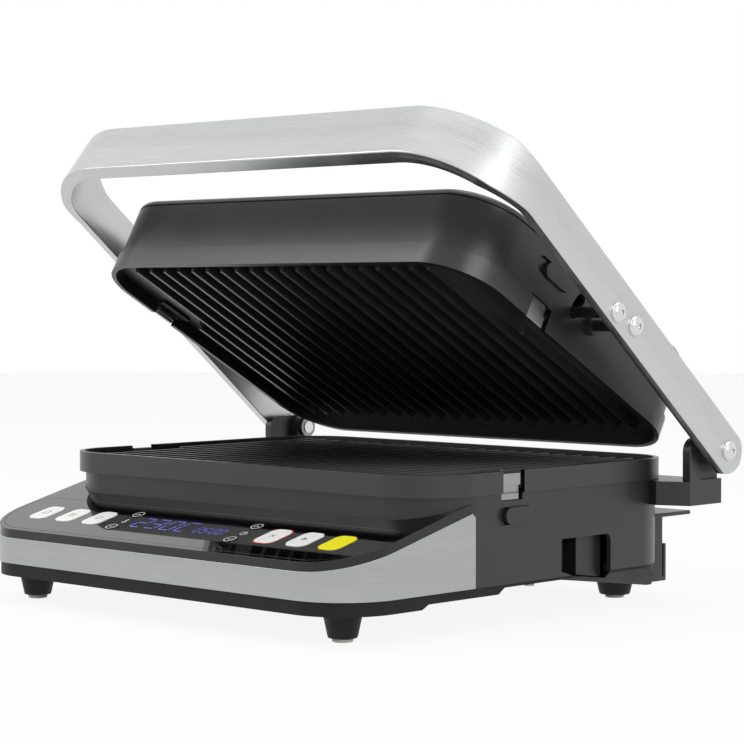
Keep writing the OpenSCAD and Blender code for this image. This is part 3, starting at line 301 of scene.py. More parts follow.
def bake(piece: bpy.types.Object) -> bpy.types.Object:
    """Turns a piece and its modifiers into a plain mesh.

    Args:
        piece: The piece to settle.

    Returns:
        The same piece, without modifiers.
    """
    graph = bpy.context.evaluated_depsgraph_get()
    graph.update()
    settled = bpy.data.meshes.new_from_object(piece.evaluated_get(graph), depsgraph=graph)
    settled.name = piece.name
    piece.modifiers.clear()
    piece.data = settled
    return piece


def weld(mesh: bpy.types.Mesh, flat_deg: float = 0.6) -> None:
    """Joins a mesh's loose triangles and clears the edges that lie inside flat faces.

    Args:
        mesh: The mesh to tidy.
        flat_deg: Largest bend between two faces that still count as one flat face.
    """
    shape = bmesh.new()
    shape.from_mesh(mesh)
    bmesh.ops.remove_doubles(shape, verts=shape.verts, dist=0.002 * MM)
    bmesh.ops.dissolve_limit(shape, angle_limit=math.radians(flat_deg), verts=shape.verts, edges=shape.edges)
    shape.to_mesh(mesh)
    shape.free()


def round_edges(piece: bpy.types.Object, width_mm: float, segments: int = 2) -> bpy.types.Object:
    """Rounds a piece's sharp edges and shades it smooth, with its flat faces kept flat.

    Args:
        piece: A welded piece.
        width_mm: Width of the rounding.
        segments: Faces across each rounding.

    Returns:
        The same piece, settled.
    """
    mesh = piece.data
    mesh.polygons.foreach_set("use_smooth", [True] * len(mesh.polygons))
    if width_mm > 0:
        bevel = piece.modifiers.new("edges", "BEVEL")
        bevel.width = width_mm * MM
        bevel.segments = segments
        bevel.limit_method = "ANGLE"
        bevel.angle_limit = math.radians(32)
        bevel.miter_outer = "MITER_ARC"
        bake(piece)
    piece.data.set_sharp_from_angle(angle=math.radians(50))
    weight = piece.modifiers.new("normals", "WEIGHTED_NORMAL")
    weight.keep_sharp = True
    return bake(piece)


def paint(piece: bpy.types.Object, finish: Finish) -> bpy.types.Object:
    """Gives the whole of a piece one finish.

    Args:
        piece: The piece to finish.
        finish: The finish that it takes.

    Returns:
        The same piece.
    """
    piece.data.materials.clear()
    piece.data.materials.append(material(finish))
    return piece


def body_of(node: str) -> str:
    """Returns the name of the body that carries a CAD node."""
    bodies = frame["record"]["behaviour"]["bodies"]
    return next(body for body, nodes in bodies.items() if node in nodes)


def finished_copy(node: str, finish: Finish, width_mm: float) -> bpy.types.Object:
    """Makes a piece with rounded edges that stands for a CAD node.

    Args:
        node: The CAD node.
        finish: Its finish.
        width_mm: Width of the rounding on its edges.

    Returns:
        The new piece, riding on the node's body.
    """
    mesh = frame["nodes"][node].data.copy()
    mesh.name = f"{node}_finished"
    weld(mesh)
    piece = paint(round_edges(link(f"{node}_finished", mesh), width_mm), finish)
    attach(piece, body_of(node))
    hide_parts(node)
    LOG.info("%s: %d faces", piece.name, len(piece.data.polygons))
    return piece


def dress(node: str, finish: Finish) -> None:
    """Gives a CAD node that keeps its shape a finish.

    Args:
        node: The CAD node.
        finish: The finish that it takes.
    """
    mesh = frame["nodes"][node].data
    mesh.materials.clear()
    mesh.materials.append(material(finish))


def stroke_map(piece: bpy.types.Object, place: Callable[[Vector], Point]) -> None:
    """Gives a brushed piece the map that its strokes follow.

    Args:
        piece: The piece.
        place: Turns a point of the piece to metres along and across the stock.
    """
    mesh = piece.data
    layer = mesh.uv_layers.get(STROKES) or mesh.uv_layers.new(name=STROKES)
    places = [place(v.co) for v in mesh.vertices]
    for loop in mesh.loops:
        layer.data[loop.index].uv = places[loop.vertex_index]


# ---- where the moving assemblies stand ----


def joint(name: str) -> dict:
    """Returns the frame's joint of that name."""
    return next(j for j in frame["joints"] if j["name"] == name)


@dataclass(frozen=True)
class Stance:
    """How far the handle is raised and the lid is open, read from the frame.

    Attributes:
        rise_deg: Slope of the arms when the lid is closed.
    """

    rise_deg: float = 10.37

    def pivot(self) -> Vector:
        """Returns the point that the arms turn about."""
        return Vector(joint("arm_swing")["pos_m"])

    def open_deg(self) -> float:
        """Returns how far the lid stands open."""
        return -joint("arm_swing")["range_deg"][0]

    def arms(self) -> Matrix:
        """Returns the place of what is drawn with y = -distance from the pivot and z across the arms."""
        turn = Matrix.Rotation(math.radians(-self.rise_deg - self.open_deg()), 4, "X")
        return Matrix.Translation(self.pivot()) @ turn

    def lid(self) -> Matrix:
        """Returns the place of what is drawn on the closed lid."""
        turn = Matrix.Rotation(math.radians(-self.open_deg()), 4, "X")
        return Matrix.Translation(self.pivot()) @ turn @ Matrix.Translation(-self.pivot())


STANCE = Stance()


# ---- the handle and its screws ----


@dataclass(frozen=True)
class Handle:
    """The brushed U-shaped handle, in millimetres, drawn from its pivot outwards.

    Attributes:
        span: Width over both arms.
        reach: Distance from the pivot to the front of the grip.
        arm_t: Thickness of an arm.
        arm_w: Width of an arm.
        grip_t: Thickness of the grip.
        grip_w: Width of the grip.
        bend: Outer radius of the two bends.
        edge: Radius of the softened edges.
    """

    span: float = 368.8
    reach: float = 280.0
    arm_t: float = 6.2
    arm_w: float = 25.4
    grip_t: float = 9.5
    grip_w: float = 33.4
    bend: float = 60.0
    edge: float = 0.8

    def half_width(self, out: float) -> float:
        """Returns half the bar's width at a distance out from the pivot."""
        end = self.arm_w / 2 + 1
        neck = self.reach - self.bend + 6
        full = self.reach - self.bend / 2
        if out < 0:
            return max(min(self.arm_w / 2, math.sqrt(max(end ** 2 - out ** 2, 0))), self.edge)
        share = min(max((out - neck) / (full - neck), 0), 1)
        return (self.arm_w + share * (self.grip_w - self.arm_w)) / 2

    def stations(self) -> list[tuple[Vector, Vector, float]]:
        """Lays out where the bar is cut, from the left pivot to the right one.

        Returns:
            For each cut its outer point, its inner point and how far along the bar it lies.
        """
        half = self.span / 2
        inner_r = self.bend - (self.arm_t + self.grip_t) / 2
        outer_c = Vector((half - self.bend, self.reach - self.bend))
        inner_c = Vector((half - self.arm_t - inner_r, self.reach - self.grip_t - inner_r))
        end = self.arm_w / 2 + 1
        outs = [-end * math.cos(math.radians(a)) for a in range(4, 90, 10)]
        outs += [0, 20, 60, 100, 140, 180, 215]
        right = [(Vector((half, out)), Vector((half - self.arm_t, out)), out) for out in outs]
        for step in range(25):
            angle = math.radians(90 * step / 24)
            way = Vector((math.cos(angle), math.sin(angle)))
            right.append((outer_c + self.bend * way, inner_c + inner_r * way,
                          outer_c.y + self.bend * angle))
        far = right[-1][2]
        right.append((Vector((60, self.reach)), Vector((60, self.reach - self.grip_t)), far + outer_c.x - 60))
        total = far + outer_c.x
        left = [(Vector((-o.x, o.y)), Vector((-i.x, i.y)), 2 * total - run) for o, i, run in reversed(right)]
        return right + left

    def ring(self, outer: Vector, inner: Vector) -> list[Vector]:
        """Draws one cut through the bar.

        Args:
            outer: The cut's outer point in plan.
            inner: Its inner point.

        Returns:
            The corners of the cut, with softened edges, in the arms' own place.
        """
        across = (inner - outer).normalized()
        points = []
        for base, inwards, up in ((outer, 1, 1), (inner, -1, 1), (inner, -1, -1), (outer, 1, -1)):
            height = self.half_width(base.y)
            edge = min(self.edge, height * 0.9)
            for step in range(4):
                angle = math.radians(30 * step)
                turn = angle if inwards * up > 0 else math.pi / 2 - angle
                side = base + across * inwards * edge * (1 - math.cos(turn))
                points.append(Vector((side.x, -side.y, up * (height - edge * (1 - math.sin(turn))))) * MM)
        return points

    def build(self) -> None:
        """Sweeps the bar, gives it its strokes and sets it in place of the CAD handle."""
        cuts = self.stations()
        shape = bmesh.new()
        rings = [[shape.verts.new(p) for p in self.ring(o, i)] for o, i, _ in cuts]
        runs = {v: run for ring, (_, _, run) in zip(rings, cuts) for v in ring}
        for first, second in zip(rings, rings[1:]):
            for k, corner in enumerate(first):
                after = (k + 1) % len(first)
                shape.faces.new((corner, first[after], second[after], second[k]))
        shape.faces.new(rings[0])
        shape.faces.new(rings[-1])
        bmesh.ops.recalc_face_normals(shape, faces=shape.faces)
        strokes = shape.loops.layers.uv.new(STROKES)
        for face in shape.faces:
            for loop in face.loops:
                loop[strokes].uv = (runs[loop.vert] * MM, loop.vert.co.z)
        mesh = bpy.data.meshes.new("handle_bar")
        shape.to_mesh(mesh)
        shape.free()
        mesh.transform(STANCE.arms())
        piece = paint(round_edges(link("handle_bar", mesh), 0), BAR)
        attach(piece, "arms")
        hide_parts("handle")
        LOG.info("handle_bar: %d faces", len(piece.data.polygons))


def build_tree(name: str, sizes: dict[str, float]) -> tuple[bpy.types.GeometryNodeTree, bpy.types.Node]:
    """Starts a geometry tree with named inputs.

    Args:
        name: The tree's name.
        sizes: Each input's name and its default value; a whole number makes an integer input.

    Returns:
        The tree and its input node.
    """
    tree = bpy.data.node_groups.new(name, "GeometryNodeTree")
    tree.interface.new_socket("Geometry", in_out="INPUT", socket_type="NodeSocketGeometry")
    tree.interface.new_socket("Geometry", in_out="OUTPUT", socket_type="NodeSocketGeometry")
    for label, value in sizes.items():
        kind = "NodeSocketInt" if isinstance(value, int) else "NodeSocketFloat"
        tree.interface.new_socket(label, in_out="INPUT", socket_type=kind).default_value = value
    return tree, add_node(tree, "NodeGroupInput")


def end_tree(tree: bpy.types.GeometryNodeTree, shape: bpy.types.NodeSocket, finish: Finish) -> None:
    """Ends a geometry tree with real geometry in one finish.

    Args:
        tree: The tree to end.
        shape: What it has made.
        finish: The finish that it takes.
    """
    real = add_node(tree, "GeometryNodeRealizeInstances", {"Geometry": shape})
    coat = add_node(tree, "GeometryNodeSetMaterial", {"Geometry": real.outputs["Geometry"]})
    coat.inputs["Material"].default_value = material(finish)
    add_node(tree, "NodeGroupOutput", {"Geometry": coat.outputs["Geometry"]})


def grow(name: str, tree: bpy.types.GeometryNodeTree, sizes: dict[str, float],
         seed: bpy.types.Mesh | None = None) -> bpy.types.Object:
    """Runs a geometry tree and settles what it makes.

    Args:
        name: The piece's name.
        tree: The tree to run.
        sizes: The value of each named input.
        seed: The mesh that the tree starts from, where it needs one.

    Returns:
        The new piece, a plain mesh.
    """
    piece = link(name, seed or bpy.data.meshes.new(name))
    modifier = piece.modifiers.new("shape", "NODES")
    modifier.node_group = tree
    sockets = {s.name: s.identifier for s in tree.interface.items_tree if s.in_out == "INPUT"}
    for label, value in sizes.items():
        modifier[sockets[label]] = value
    return bake(piece)


@dataclass(frozen=True)
class ArmScrews:
    """The domed screws through the arms, in millimetres.

    Attributes:
        head_r: Radius of a head's flat ring.
        head_h: Height of a head.
        ring_h: Height of the flat ring.
        socket_r: Radius of the driver's socket.
        arm_face: Distance of the arms' outer faces from the middle.
    """

    head_r: float = 6.0
    head_h: float = 3.4
    ring_h: float = 1.0
    socket_r: float = 1.5
    arm_face: float = 184.4

    def head(self) -> bpy.types.Object:
        """Turns one screw head, with its socket, standing on z = 0."""
        crown = self.head_r - 0.5
        dome = [(crown * math.cos(math.radians(a)), self.ring_h + (self.head_h - self.ring_h)
                 * math.sin(math.radians(a))) for a in range(0, 76, 15)]
        outline = [(self.head_r, 0), (self.head_r, self.ring_h - 0.2),
                   (self.head_r - 0.2, self.ring_h), *dome,
                   (self.socket_r, self.head_h - 0.02), (self.socket_r * 0.96, self.head_h - 1.4),
                   (0, self.head_h - 1.6)]
        return link("arm_screw_head", turned("arm_screw_head", outline))

    def tree(self, head: bpy.types.Object) -> bpy.types.GeometryNodeTree:
        """Builds the tree that sets a head and a shank on every point, along its facing.

        Args:
            head: The head to repeat.

        Returns:
            The tree.
        """
        tree, given = build_tree("arm_screws", {"Shank radius": 0.002, "Shank length": 0.01})
        heads = add_node(tree, "GeometryNodeObjectInfo")
        heads.inputs["Object"].default_value = head
        depth = given.outputs["Shank length"]
        shank = add_node(tree, "GeometryNodeMeshCylinder",
                         {"Vertices": 24, "Radius": given.outputs["Shank radius"], "Depth": depth})
        half = add_node(tree, "ShaderNodeMath", {0: depth, 1: -0.5}, operation="MULTIPLY")
        drop = add_node(tree, "ShaderNodeCombineXYZ", {"Z": half.outputs[0]})
        sunk = add_node(tree, "GeometryNodeTransform",
                        {"Geometry": shank.outputs["Mesh"], "Translation": drop.outputs[0]})
        screw = add_node(tree, "GeometryNodeJoinGeometry", {0: heads.outputs["Geometry"]})
        tree.links.new(sunk.outputs["Geometry"], screw.inputs[0])
        facing = add_node(tree, "GeometryNodeInputNamedAttribute", {"Name": "facing"},
                          data_type="FLOAT_VECTOR")
        turn = add_node(tree, "FunctionNodeAlignRotationToVector",
                        {"Vector": facing.outputs["Attribute"]}, axis="Z")
        put = add_node(tree, "GeometryNodeInstanceOnPoints", {
            "Points": given.outputs["Geometry"], "Instance": screw.outputs[0], "Rotation": turn.outputs[0]})
        end_tree(tree, put.outputs["Instances"], TURNED)
        return tree

    def build(self) -> None:
        """Sets the pivot screws and the lid's screws in both arms."""
        head = self.head()
        tree = self.tree(head)
        sets = {
            "pivot_screws": ([(0, 0)], {"Shank radius": 4 * MM, "Shank length": 21.6 * MM}),
            "lid_screws": ([(115.5, -0.8), (132.4, -4.8)], {"Shank radius": 2 * MM, "Shank length": 11 * MM}),
        }
        for node, (places, sizes) in sets.items():
            points = [Vector((side * self.arm_face, -out, up)) * MM for out, up in places for side in (1, -1)]
            seed = bpy.data.meshes.new(f"{node}_finished")
            seed.from_pydata(points, [], [])
            ways = seed.attributes.new("facing", "FLOAT_VECTOR", "POINT")
            for at, point in zip(ways.data, points):
                at.vector = (math.copysign(1, point.x), 0, 0)
            piece = grow(f"{node}_finished", tree, sizes, seed)
            piece.data.transform(STANCE.arms())
            round_edges(piece, 0)
            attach(piece, "arms")
            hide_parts(node)
        bpy.data.objects.remove(head)


def turned(name: str, outline: Iterable[Point], steps: int = 40) -> bpy.types.Mesh:
    """Turns an outline about the Z axis.

    Args:
        name: The mesh's name.
        outline: Radius and height of each point in millimetres, from the rim to the axis.
        steps: Faces round the axis.

    Returns:
        The turned mesh.
    """
    shape = bmesh.new()
    points = [shape.verts.new((r * MM, 0, z * MM)) for r, z in outline]
    edges = [shape.edges.new(pair) for pair in zip(points, points[1:])]
    bmesh.ops.spin(shape, geom=points + edges, cent=(0, 0, 0), axis=(0, 0, 1), angle=2 * math.pi, steps=steps)
    bmesh.ops.remove_doubles(shape, verts=shape.verts, dist=0.001 * MM)
    bmesh.ops.recalc_face_normals(shape, faces=shape.faces)
    mesh = bpy.data.meshes.new(name)
    shape.to_mesh(mesh)
    shape.free()
    return mesh


# ---- the grill plates ----


@dataclass(frozen=True)
class GrillPlate:
    """A cast plate with a rim, notches for its clips and a row of ribs, in millimetres.

    Attributes:
        width: Width over the rim.
        depth: Depth over the rim.
        corner: Radius of the rim's corners.
        wall: Thickness of the rim.
        rim: Height of the rim.
        floor_t: Thickness of the floor.
        drop: How far the ribs' crests stay under the rim.
        ribs: Number of ribs.
        pitch: Distance between the middles of two ribs.
        rib_h: Height of a rib.
        root: Width of a rib at the floor.
        tip: Width of a rib at its crest.
        rib_front: Distance from the rim's front to the ribs' front ends.
        rib_rear: Distance from the rim's rear to the ribs' rear ends.
        side_start: Distance from the rim's front to the front ends of the two outermost ribs.
        notch_y: Middle of the clips' notches from the front.
        notch_w: Width of a notch.
        ledge: Height of the ledge in a notch.
    """

    width: float = 310.0
    depth: float = 222.0
    corner: float = 36.0
    wall: float = 3.0
    rim: float = 12.2
    floor_t: float = 3.0
    drop: float = 1.0
    ribs: int = 22
    pitch: float = 12.7
    rib_h: float = 6.0
    root: float = 4.2
    tip: float = 2.2
    rib_front: float = 8.5
    rib_rear: float = 20.0
    side_start: float = 81.7
    notch_y: float = 68.0
    notch_w: float = 17.7
    ledge: float = 7.2

    def sizes(self) -> dict[str, float]:
        """Returns the tree's inputs, in metres."""
        return {
            "Width": self.width * MM, "Depth": self.depth * MM, "Corner": self.corner * MM,
            "Wall": self.wall * MM, "Rim height": self.rim * MM, "Floor thickness": self.floor_t * MM,
            "Crest drop": self.drop * MM, "Rib count": self.ribs, "Rib pitch": self.pitch * MM,
            "Rib height": self.rib_h * MM, "Rib root": self.root * MM, "Rib tip": self.tip * MM,
            "Rib front": self.rib_front * MM, "Rib rear": self.rib_rear * MM,
            "Side rib front": self.side_start * MM, "Notch place": (self.notch_y - self.depth / 2) * MM,
            "Notch width": self.notch_w * MM, "Ledge": self.ledge * MM,
        }

    def tree(self) -> bpy.types.GeometryNodeTree:
        """Builds the tree that makes a whole plate from its sizes, centred, with its rim's foot at z = 0.

        Returns:
            The tree.
        """
        tree, given = build_tree("grill_plate", self.sizes())
        size = given.outputs

        def sum_of(first, second, operation: str = "ADD") -> bpy.types.NodeSocket:
            """Returns the result of one sum of two sockets or numbers."""
            return add_node(tree, "ShaderNodeMath", {0: first, 1: second}, operation=operation).outputs[0]

        def outline(inset) -> bpy.types.NodeSocket:
            """Returns the plate's round-cornered outline, moved in by a distance."""
            twice = sum_of(inset, 2, "MULTIPLY")
            box = add_node(tree, "GeometryNodeCurvePrimitiveQuadrilateral", {
                "Width": sum_of(size["Width"], twice, "SUBTRACT"),
                "Height": sum_of(size["Depth"], twice, "SUBTRACT")})
            return add_node(tree, "GeometryNodeFilletCurve", {
                "Curve": box.outputs["Curve"], "Count": 14,
                "Radius": sum_of(size["Corner"], inset, "SUBTRACT")}, mode="POLY").outputs["Curve"]

        def slab(outlines: list[bpy.types.NodeSocket], low, high) -> bpy.types.NodeSocket:
            """Returns a closed slab between two heights with the given outline, less any inner one."""
            joined = add_node(tree, "GeometryNodeJoinGeometry")
            for curve in outlines:
                tree.links.new(curve, joined.inputs[0])
            sheet = add_node(tree, "GeometryNodeFillCurve", {"Curve": joined.outputs[0]}).outputs["Mesh"]
            rise = add_node(tree, "ShaderNodeCombineXYZ", {"Z": sum_of(high, low, "SUBTRACT")})
            top = add_node(tree, "GeometryNodeExtrudeMesh", {
                "Mesh": sheet, "Offset": rise.outputs[0],
                "Offset Scale": 1.0, "Individual": False}, mode="FACES")
            under = add_node(tree, "GeometryNodeFlipFaces", {"Mesh": sheet}).outputs["Mesh"]
            both = add_node(tree, "GeometryNodeJoinGeometry", {0: under})
            tree.links.new(top.outputs["Mesh"], both.inputs[0])
            shut = add_node(tree, "GeometryNodeMergeByDistance",
                            {"Geometry": both.outputs[0], "Distance": 0.001 * MM})
            lift = add_node(tree, "ShaderNodeCombineXYZ", {"Z": low})
            return add_node(tree, "GeometryNodeTransform", {
                "Geometry": shut.outputs["Geometry"], "Translation": lift.outputs[0]}).outputs["Geometry"]

        def block(across, along, high, x, y, z) -> bpy.types.NodeSocket:
            """Returns a block on both sides of the plate, centred at x to the right and at -x to the left."""
            form = add_node(tree, "ShaderNodeCombineXYZ", {"X": across, "Y": along, "Z": high})
            cube = add_node(tree, "GeometryNodeMeshCube", {"Size": form.outputs[0]}).outputs["Mesh"]
            pair = add_node(tree, "GeometryNodeJoinGeometry")
            for side in (1, -1):
                at = add_node(tree, "ShaderNodeCombineXYZ",
                              {"X": sum_of(x, side, "MULTIPLY"), "Y": y, "Z": z})
                moved = add_node(tree, "GeometryNodeTransform",
                                 {"Geometry": cube, "Translation": at.outputs[0]})
                tree.links.new(moved.outputs["Geometry"], pair.inputs[0])
            return pair.outputs[0]

        half = sum_of(size["Width"], 0.5, "MULTIPLY")
        crest = sum_of(size["Rim height"], size["Crest drop"], "SUBTRACT")
        floor_top = sum_of(crest, size["Rib height"], "SUBTRACT")
        floor_low = sum_of(floor_top, size["Floor thickness"], "SUBTRACT")
        rim = slab([outline(0.0), outline(size["Wall"])], 0.0, size["Rim height"])
        floor = slab([outline(size["Wall"])], floor_low, floor_top)

        # the ledges that the clips hook over, and the notches in the rim in front of them
        ledge_in = sum_of(half, 7 * MM, "SUBTRACT")
        ledge = block(10 * MM, sum_of(size["Notch width"], 6 * MM),
                      sum_of(size["Ledge"], floor_low, "SUBTRACT"),
                      ledge_in, size["Notch place"],
                      sum_of(sum_of(size["Ledge"], floor_low), 0.5, "MULTIPLY"))
        notch = block(16 * MM, size["Notch width"], size["Rim height"], sum_of(half, 3 * MM),
                      size["Notch place"], sum_of(size["Ledge"], sum_of(size["Rim height"], 0.5, "MULTIPLY")))
        slot = block(8 * MM, size["Notch width"], sum_of(size["Rim height"], 2, "MULTIPLY"),
                     sum_of(half, 0.4 * MM), size["Notch place"], size["Rim height"])
        cut = add_node(tree, "GeometryNodeMeshBoolean", {"Mesh 1": rim}, operation="DIFFERENCE")
        tree.links.new(notch, cut.inputs["Mesh 2"])
        tree.links.new(slot, cut.inputs["Mesh 2"])
        trimmed = add_node(tree, "GeometryNodeMeshBoolean", {"Mesh 1": ledge}, operation="DIFFERENCE")
        tree.links.new(slot, trimmed.inputs["Mesh 2"])

        gaps = sum_of(size["Rib count"], 1, "SUBTRACT")
        first = sum_of(sum_of(gaps, size["Rib pitch"], "MULTIPLY"), -0.5, "MULTIPLY")
        middle = sum_of(floor_top, sum_of(size["Rib height"], 0.5, "MULTIPLY"))

        def rib_row(front, count, x, step) -> bpy.types.NodeSocket:
            """Returns a row of ribs from x on: bars that lean in from root to tip, with sloped ends."""
            rear = sum_of(size["Depth"], size["Rib rear"], "SUBTRACT")
            form = add_node(tree, "ShaderNodeCombineXYZ", {
                "X": size["Rib root"], "Y": sum_of(rear, front, "SUBTRACT"), "Z": size["Rib height"]})
            bar = add_node(tree, "GeometryNodeMeshCube", {"Size": form.outputs[0]}).outputs["Mesh"]
            place = add_node(tree, "GeometryNodeInputPosition").outputs["Position"]
            split = add_node(tree, "ShaderNodeSeparateXYZ", {0: place})
            share = sum_of(sum_of(split.outputs["Z"], size["Rib height"], "DIVIDE"), 0.5)
            lean = add_node(tree, "ShaderNodeMapRange", {
                "Value": share, "To Min": 1.0, "To Max": sum_of(size["Rib tip"], size["Rib root"], "DIVIDE")})
            slope = add_node(tree, "ShaderNodeMapRange", {"Value": share, "To Min": 1.0, "To Max": 0.98})
            leaned = add_node(tree, "ShaderNodeCombineXYZ", {
                "X": sum_of(split.outputs["X"], lean.outputs["Result"], "MULTIPLY"),
                "Y": sum_of(split.outputs["Y"], slope.outputs["Result"], "MULTIPLY"),
                "Z": split.outputs["Z"]})
            rib = add_node(tree, "GeometryNodeSetPosition", {"Geometry": bar, "Position": leaned.outputs[0]})
            centre = sum_of(sum_of(sum_of(front, rear), size["Depth"], "SUBTRACT"), 0.5, "MULTIPLY")
            start = add_node(tree, "ShaderNodeCombineXYZ", {"X": x, "Y": centre, "Z": middle})
            stride = add_node(tree, "ShaderNodeCombineXYZ", {"X": step})
            row = add_node(tree, "GeometryNodeMeshLine", {
                "Count": count, "Start Location": start.outputs[0], "Offset": stride.outputs[0]})
            return add_node(tree, "GeometryNodeInstanceOnPoints", {
                "Points": row.outputs["Mesh"], "Instance": rib.outputs["Geometry"]}).outputs["Instances"]

        inner = rib_row(size["Rib front"], sum_of(gaps, 1, "SUBTRACT"), sum_of(first, size["Rib pitch"]),
                        size["Rib pitch"])
        outer = rib_row(size["Side rib front"], 2, first, sum_of(first, -2, "MULTIPLY"))
        whole = add_node(tree, "GeometryNodeJoinGeometry", {0: inner})
        for part in (outer, trimmed.outputs["Mesh"], cut.outputs["Mesh"], floor):
            tree.links.new(part, whole.inputs[0])
        end_tree(tree, whole.outputs[0], COATED)
        return tree

    def build(self, node: str, place: Matrix, tree: bpy.types.GeometryNodeTree) -> None:
        """Makes one plate and sets it in place of a CAD plate.

        Args:
            node: The CAD node.
            place: Where the plate stands.
            tree: The tree that makes it.
        """
        piece = grow(f"{node}_cast", tree, self.sizes())
        piece.data.transform(place)
        if place.determinant() < 0:
            piece.data.flip_normals()
        weld(piece.data)
        round_edges(piece, 0.5)
        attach(piece, body_of(node))
        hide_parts(node)
        LOG.info("%s: %d faces", piece.name, len(piece.data.polygons))


def build_plates() -> None:
    """Makes the lower plate on the base and the upper one, mirrored, in the lid."""
    low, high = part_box("lower_plate")
    lower = GrillPlate()
    middle = Vector(((low.x + high.x) / 2, (low.y + high.y) / 2, low.z))
    tree = lower.tree()
    lower.build("lower_plate", Matrix.Translation(middle), tree)
    upper = GrillPlate(rim=12.4)
    forward = -1 * MM
    closed_z = high.z + (1 + upper.rim) * MM
    closed = Matrix.Translation(Vector((middle.x, middle.y + forward, closed_z)))
    upper.build("upper_plate", STANCE.lid() @ closed @ Matrix.Diagonal((1, 1, -1, 1)), tree)


# ---- the deck: keys, display and printed marks ----


@dataclass(frozen=True)
class DeckFace:
    """The sloped face of the controls, from the frame: x to the right, t up the slope, z off the face."""

    def normal(self) -> Vector:
        """Returns the direction square to the face, which the keys travel along."""
        return -Vector(joint("left_key_1_press")["axis"]).normalized()

    def place(self) -> Matrix:
        """Returns the place of what is drawn with its middle at the keys' row, in metres."""
        normal = self.normal()
        up_slope = Vector((1, 0, 0)).cross(normal) * -1
        height = max(normal.dot(v.co) for v in frame["nodes"]["deck_panel"].data.vertices)
        key = frame["nodes"]["left_key_2"].data.vertices
        along = [up_slope.dot(v.co) for v in key if normal.dot(v.co) > height]
        origin = normal * height + up_slope * (max(along) + min(along)) / 2
        turn = Matrix((Vector((1, 0, 0)), up_slope, normal)).transposed().to_4x4()
        return Matrix.Translation(origin) @ turn


def arc(x: float, y: float, radius: float,
        start: float = 0, end: float = 360, steps: int = 28) -> list[Point]:
    """Returns the points of an arc, in millimetres and degrees."""
    turns = [math.radians(start + (end - start) * i / steps) for i in range(steps + 1)]
    return [(x + radius * math.cos(a), y + radius * math.sin(a)) for a in turns]


def stroke(points: list[Point], width: float) -> list[list[Point]]:
    """Draws a line of even width as one four-cornered patch for each stretch.

    Args:
        points: The points that the line passes, in millimetres.
        width: The line's width.

    Returns:
        The patches' corners.
    """
    patches = []
    for (x0, y0), (x1, y1) in zip(points, points[1:]):
        run = math.hypot(x1 - x0, y1 - y0) or 1
        sx, sy = -(y1 - y0) / run * width / 2, (x1 - x0) / run * width / 2
        patches.append([(x0 + sx, y0 + sy), (x0 - sx, y0 - sy), (x1 - sx, y1 - sy), (x1 + sx, y1 + sy)])
    return patches


@dataclass
class Print:
    """Marks printed on the deck or on a key, drawn in millimetres from the keys' row.

    Attributes:
        name: The piece's name.
        ink: The finish of the marks.
        body: The body that carries them.
        lift: Height of the ink's top over the deck's face.
        coat: Thickness of the ink, drawn thicker than real so that it stays clear of the face under it.
    """

    name: str
    ink: Finish
    body: str = "base"
    lift: float = 0.06
    coat: float = 0.12

    def build(self, patches: list[list[Point]]) -> bpy.types.Object:
        """Raises the patches off the deck's face.

        Args:
            patches: The corners of each patch.

        Returns:
            The printed piece.
        """
        shape = bmesh.new()
        for patch in patches:
            low = [shape.verts.new(Vector((x, y, self.lift - self.coat)) * MM) for x, y in patch]
            top = [shape.verts.new(Vector((x, y, self.lift)) * MM) for x, y in patch]
            shape.faces.new(top)
            shape.faces.new(low[::-1])
            for k, corner in enumerate(top):
                after = (k + 1) % len(top)
                shape.faces.new((corner, low[k], low[after], top[after]))
        bmesh.ops.recalc_face_normals(shape, faces=shape.faces)
        mesh = bpy.data.meshes.new(self.name)
        shape.to_mesh(mesh)
        shape.free()
        mesh.transform(DeckFace().place())
        piece = paint(link(self.name, mesh), self.ink)
        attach(piece, self.body)
        return piece


class Mark(Enum):
    """The plain sign on a key."""

    POWER = "ring with a bar"
    BARS = "three bars"
    FRAME = "frame"
    CROSS = "cross"
    PLAY = "triangle"
    BARE = "nothing"

    def patches(self, x: float) -> list[list[Point]]:
        """Returns the sign's patches about the middle of a key at x."""
        if self is Mark.POWER:
            return stroke(arc(x, 0, 2.2, 125, 415), 0.5) + stroke([(x, 0.6), (x, 3)], 0.5)
        if self is Mark.BARS:
            return [p for y in (-1.8, 0, 1.8) for p in stroke([(x - 2.6, y), (x + 2.6, y)], 0.6)]
        if self is Mark.FRAME:
            return stroke([(x - 2, -2), (x + 2, -2), (x + 2, 2), (x - 2, 2), (x - 2, -2)], 0.6)
        if self is Mark.CROSS:
            return (stroke([(x - 1.7, -1.7), (x + 1.7, 1.7)], 0.6)
                    + stroke([(x - 1.7, 1.7), (x + 1.7, -1.7)], 0.6))
        if self is Mark.PLAY:
            return [[(x - 1.6, -2.2), (x + 2.2, 0), (x - 1.6, 2.2)]]
        return []


SEGMENTS = {
    "0": "abcdef", "1": "bc", "2": "abged", "3": "abgcd", "5": "afgcd", "C": "afed",
}


def digit(sign: str, x: float, y: float, width: float, height: float, line: float) -> list[list[Point]]:
    """Draws a leaning seven-segment digit.

    Args:
        sign: The digit.
        x: Its left edge.
        y: Its foot.
        width: Its width.
        height: Its height.
        line: Width of a segment.

    Returns:
        The patches of its lit segments.
    """
    half = height / 2
    gap = line * 0.6
    ends = {
        "a": ((gap, height), (width - gap, height)), "b": ((width, height - gap), (width, half + gap)),
        "c": ((width, half - gap), (width, gap)), "d": ((gap, 0), (width - gap, 0)),
        "e": ((0, half - gap), (0, gap)), "f": ((0, height - gap), (0, half + gap)),
        "g": ((gap, half), (width - gap, half)),
    }
    lean = 0.12
    lit = []
    for name in SEGMENTS[sign]:
        points = [(x + px + lean * py, y + py) for px, py in ends[name]]
        lit += stroke(points, line)
    return lit


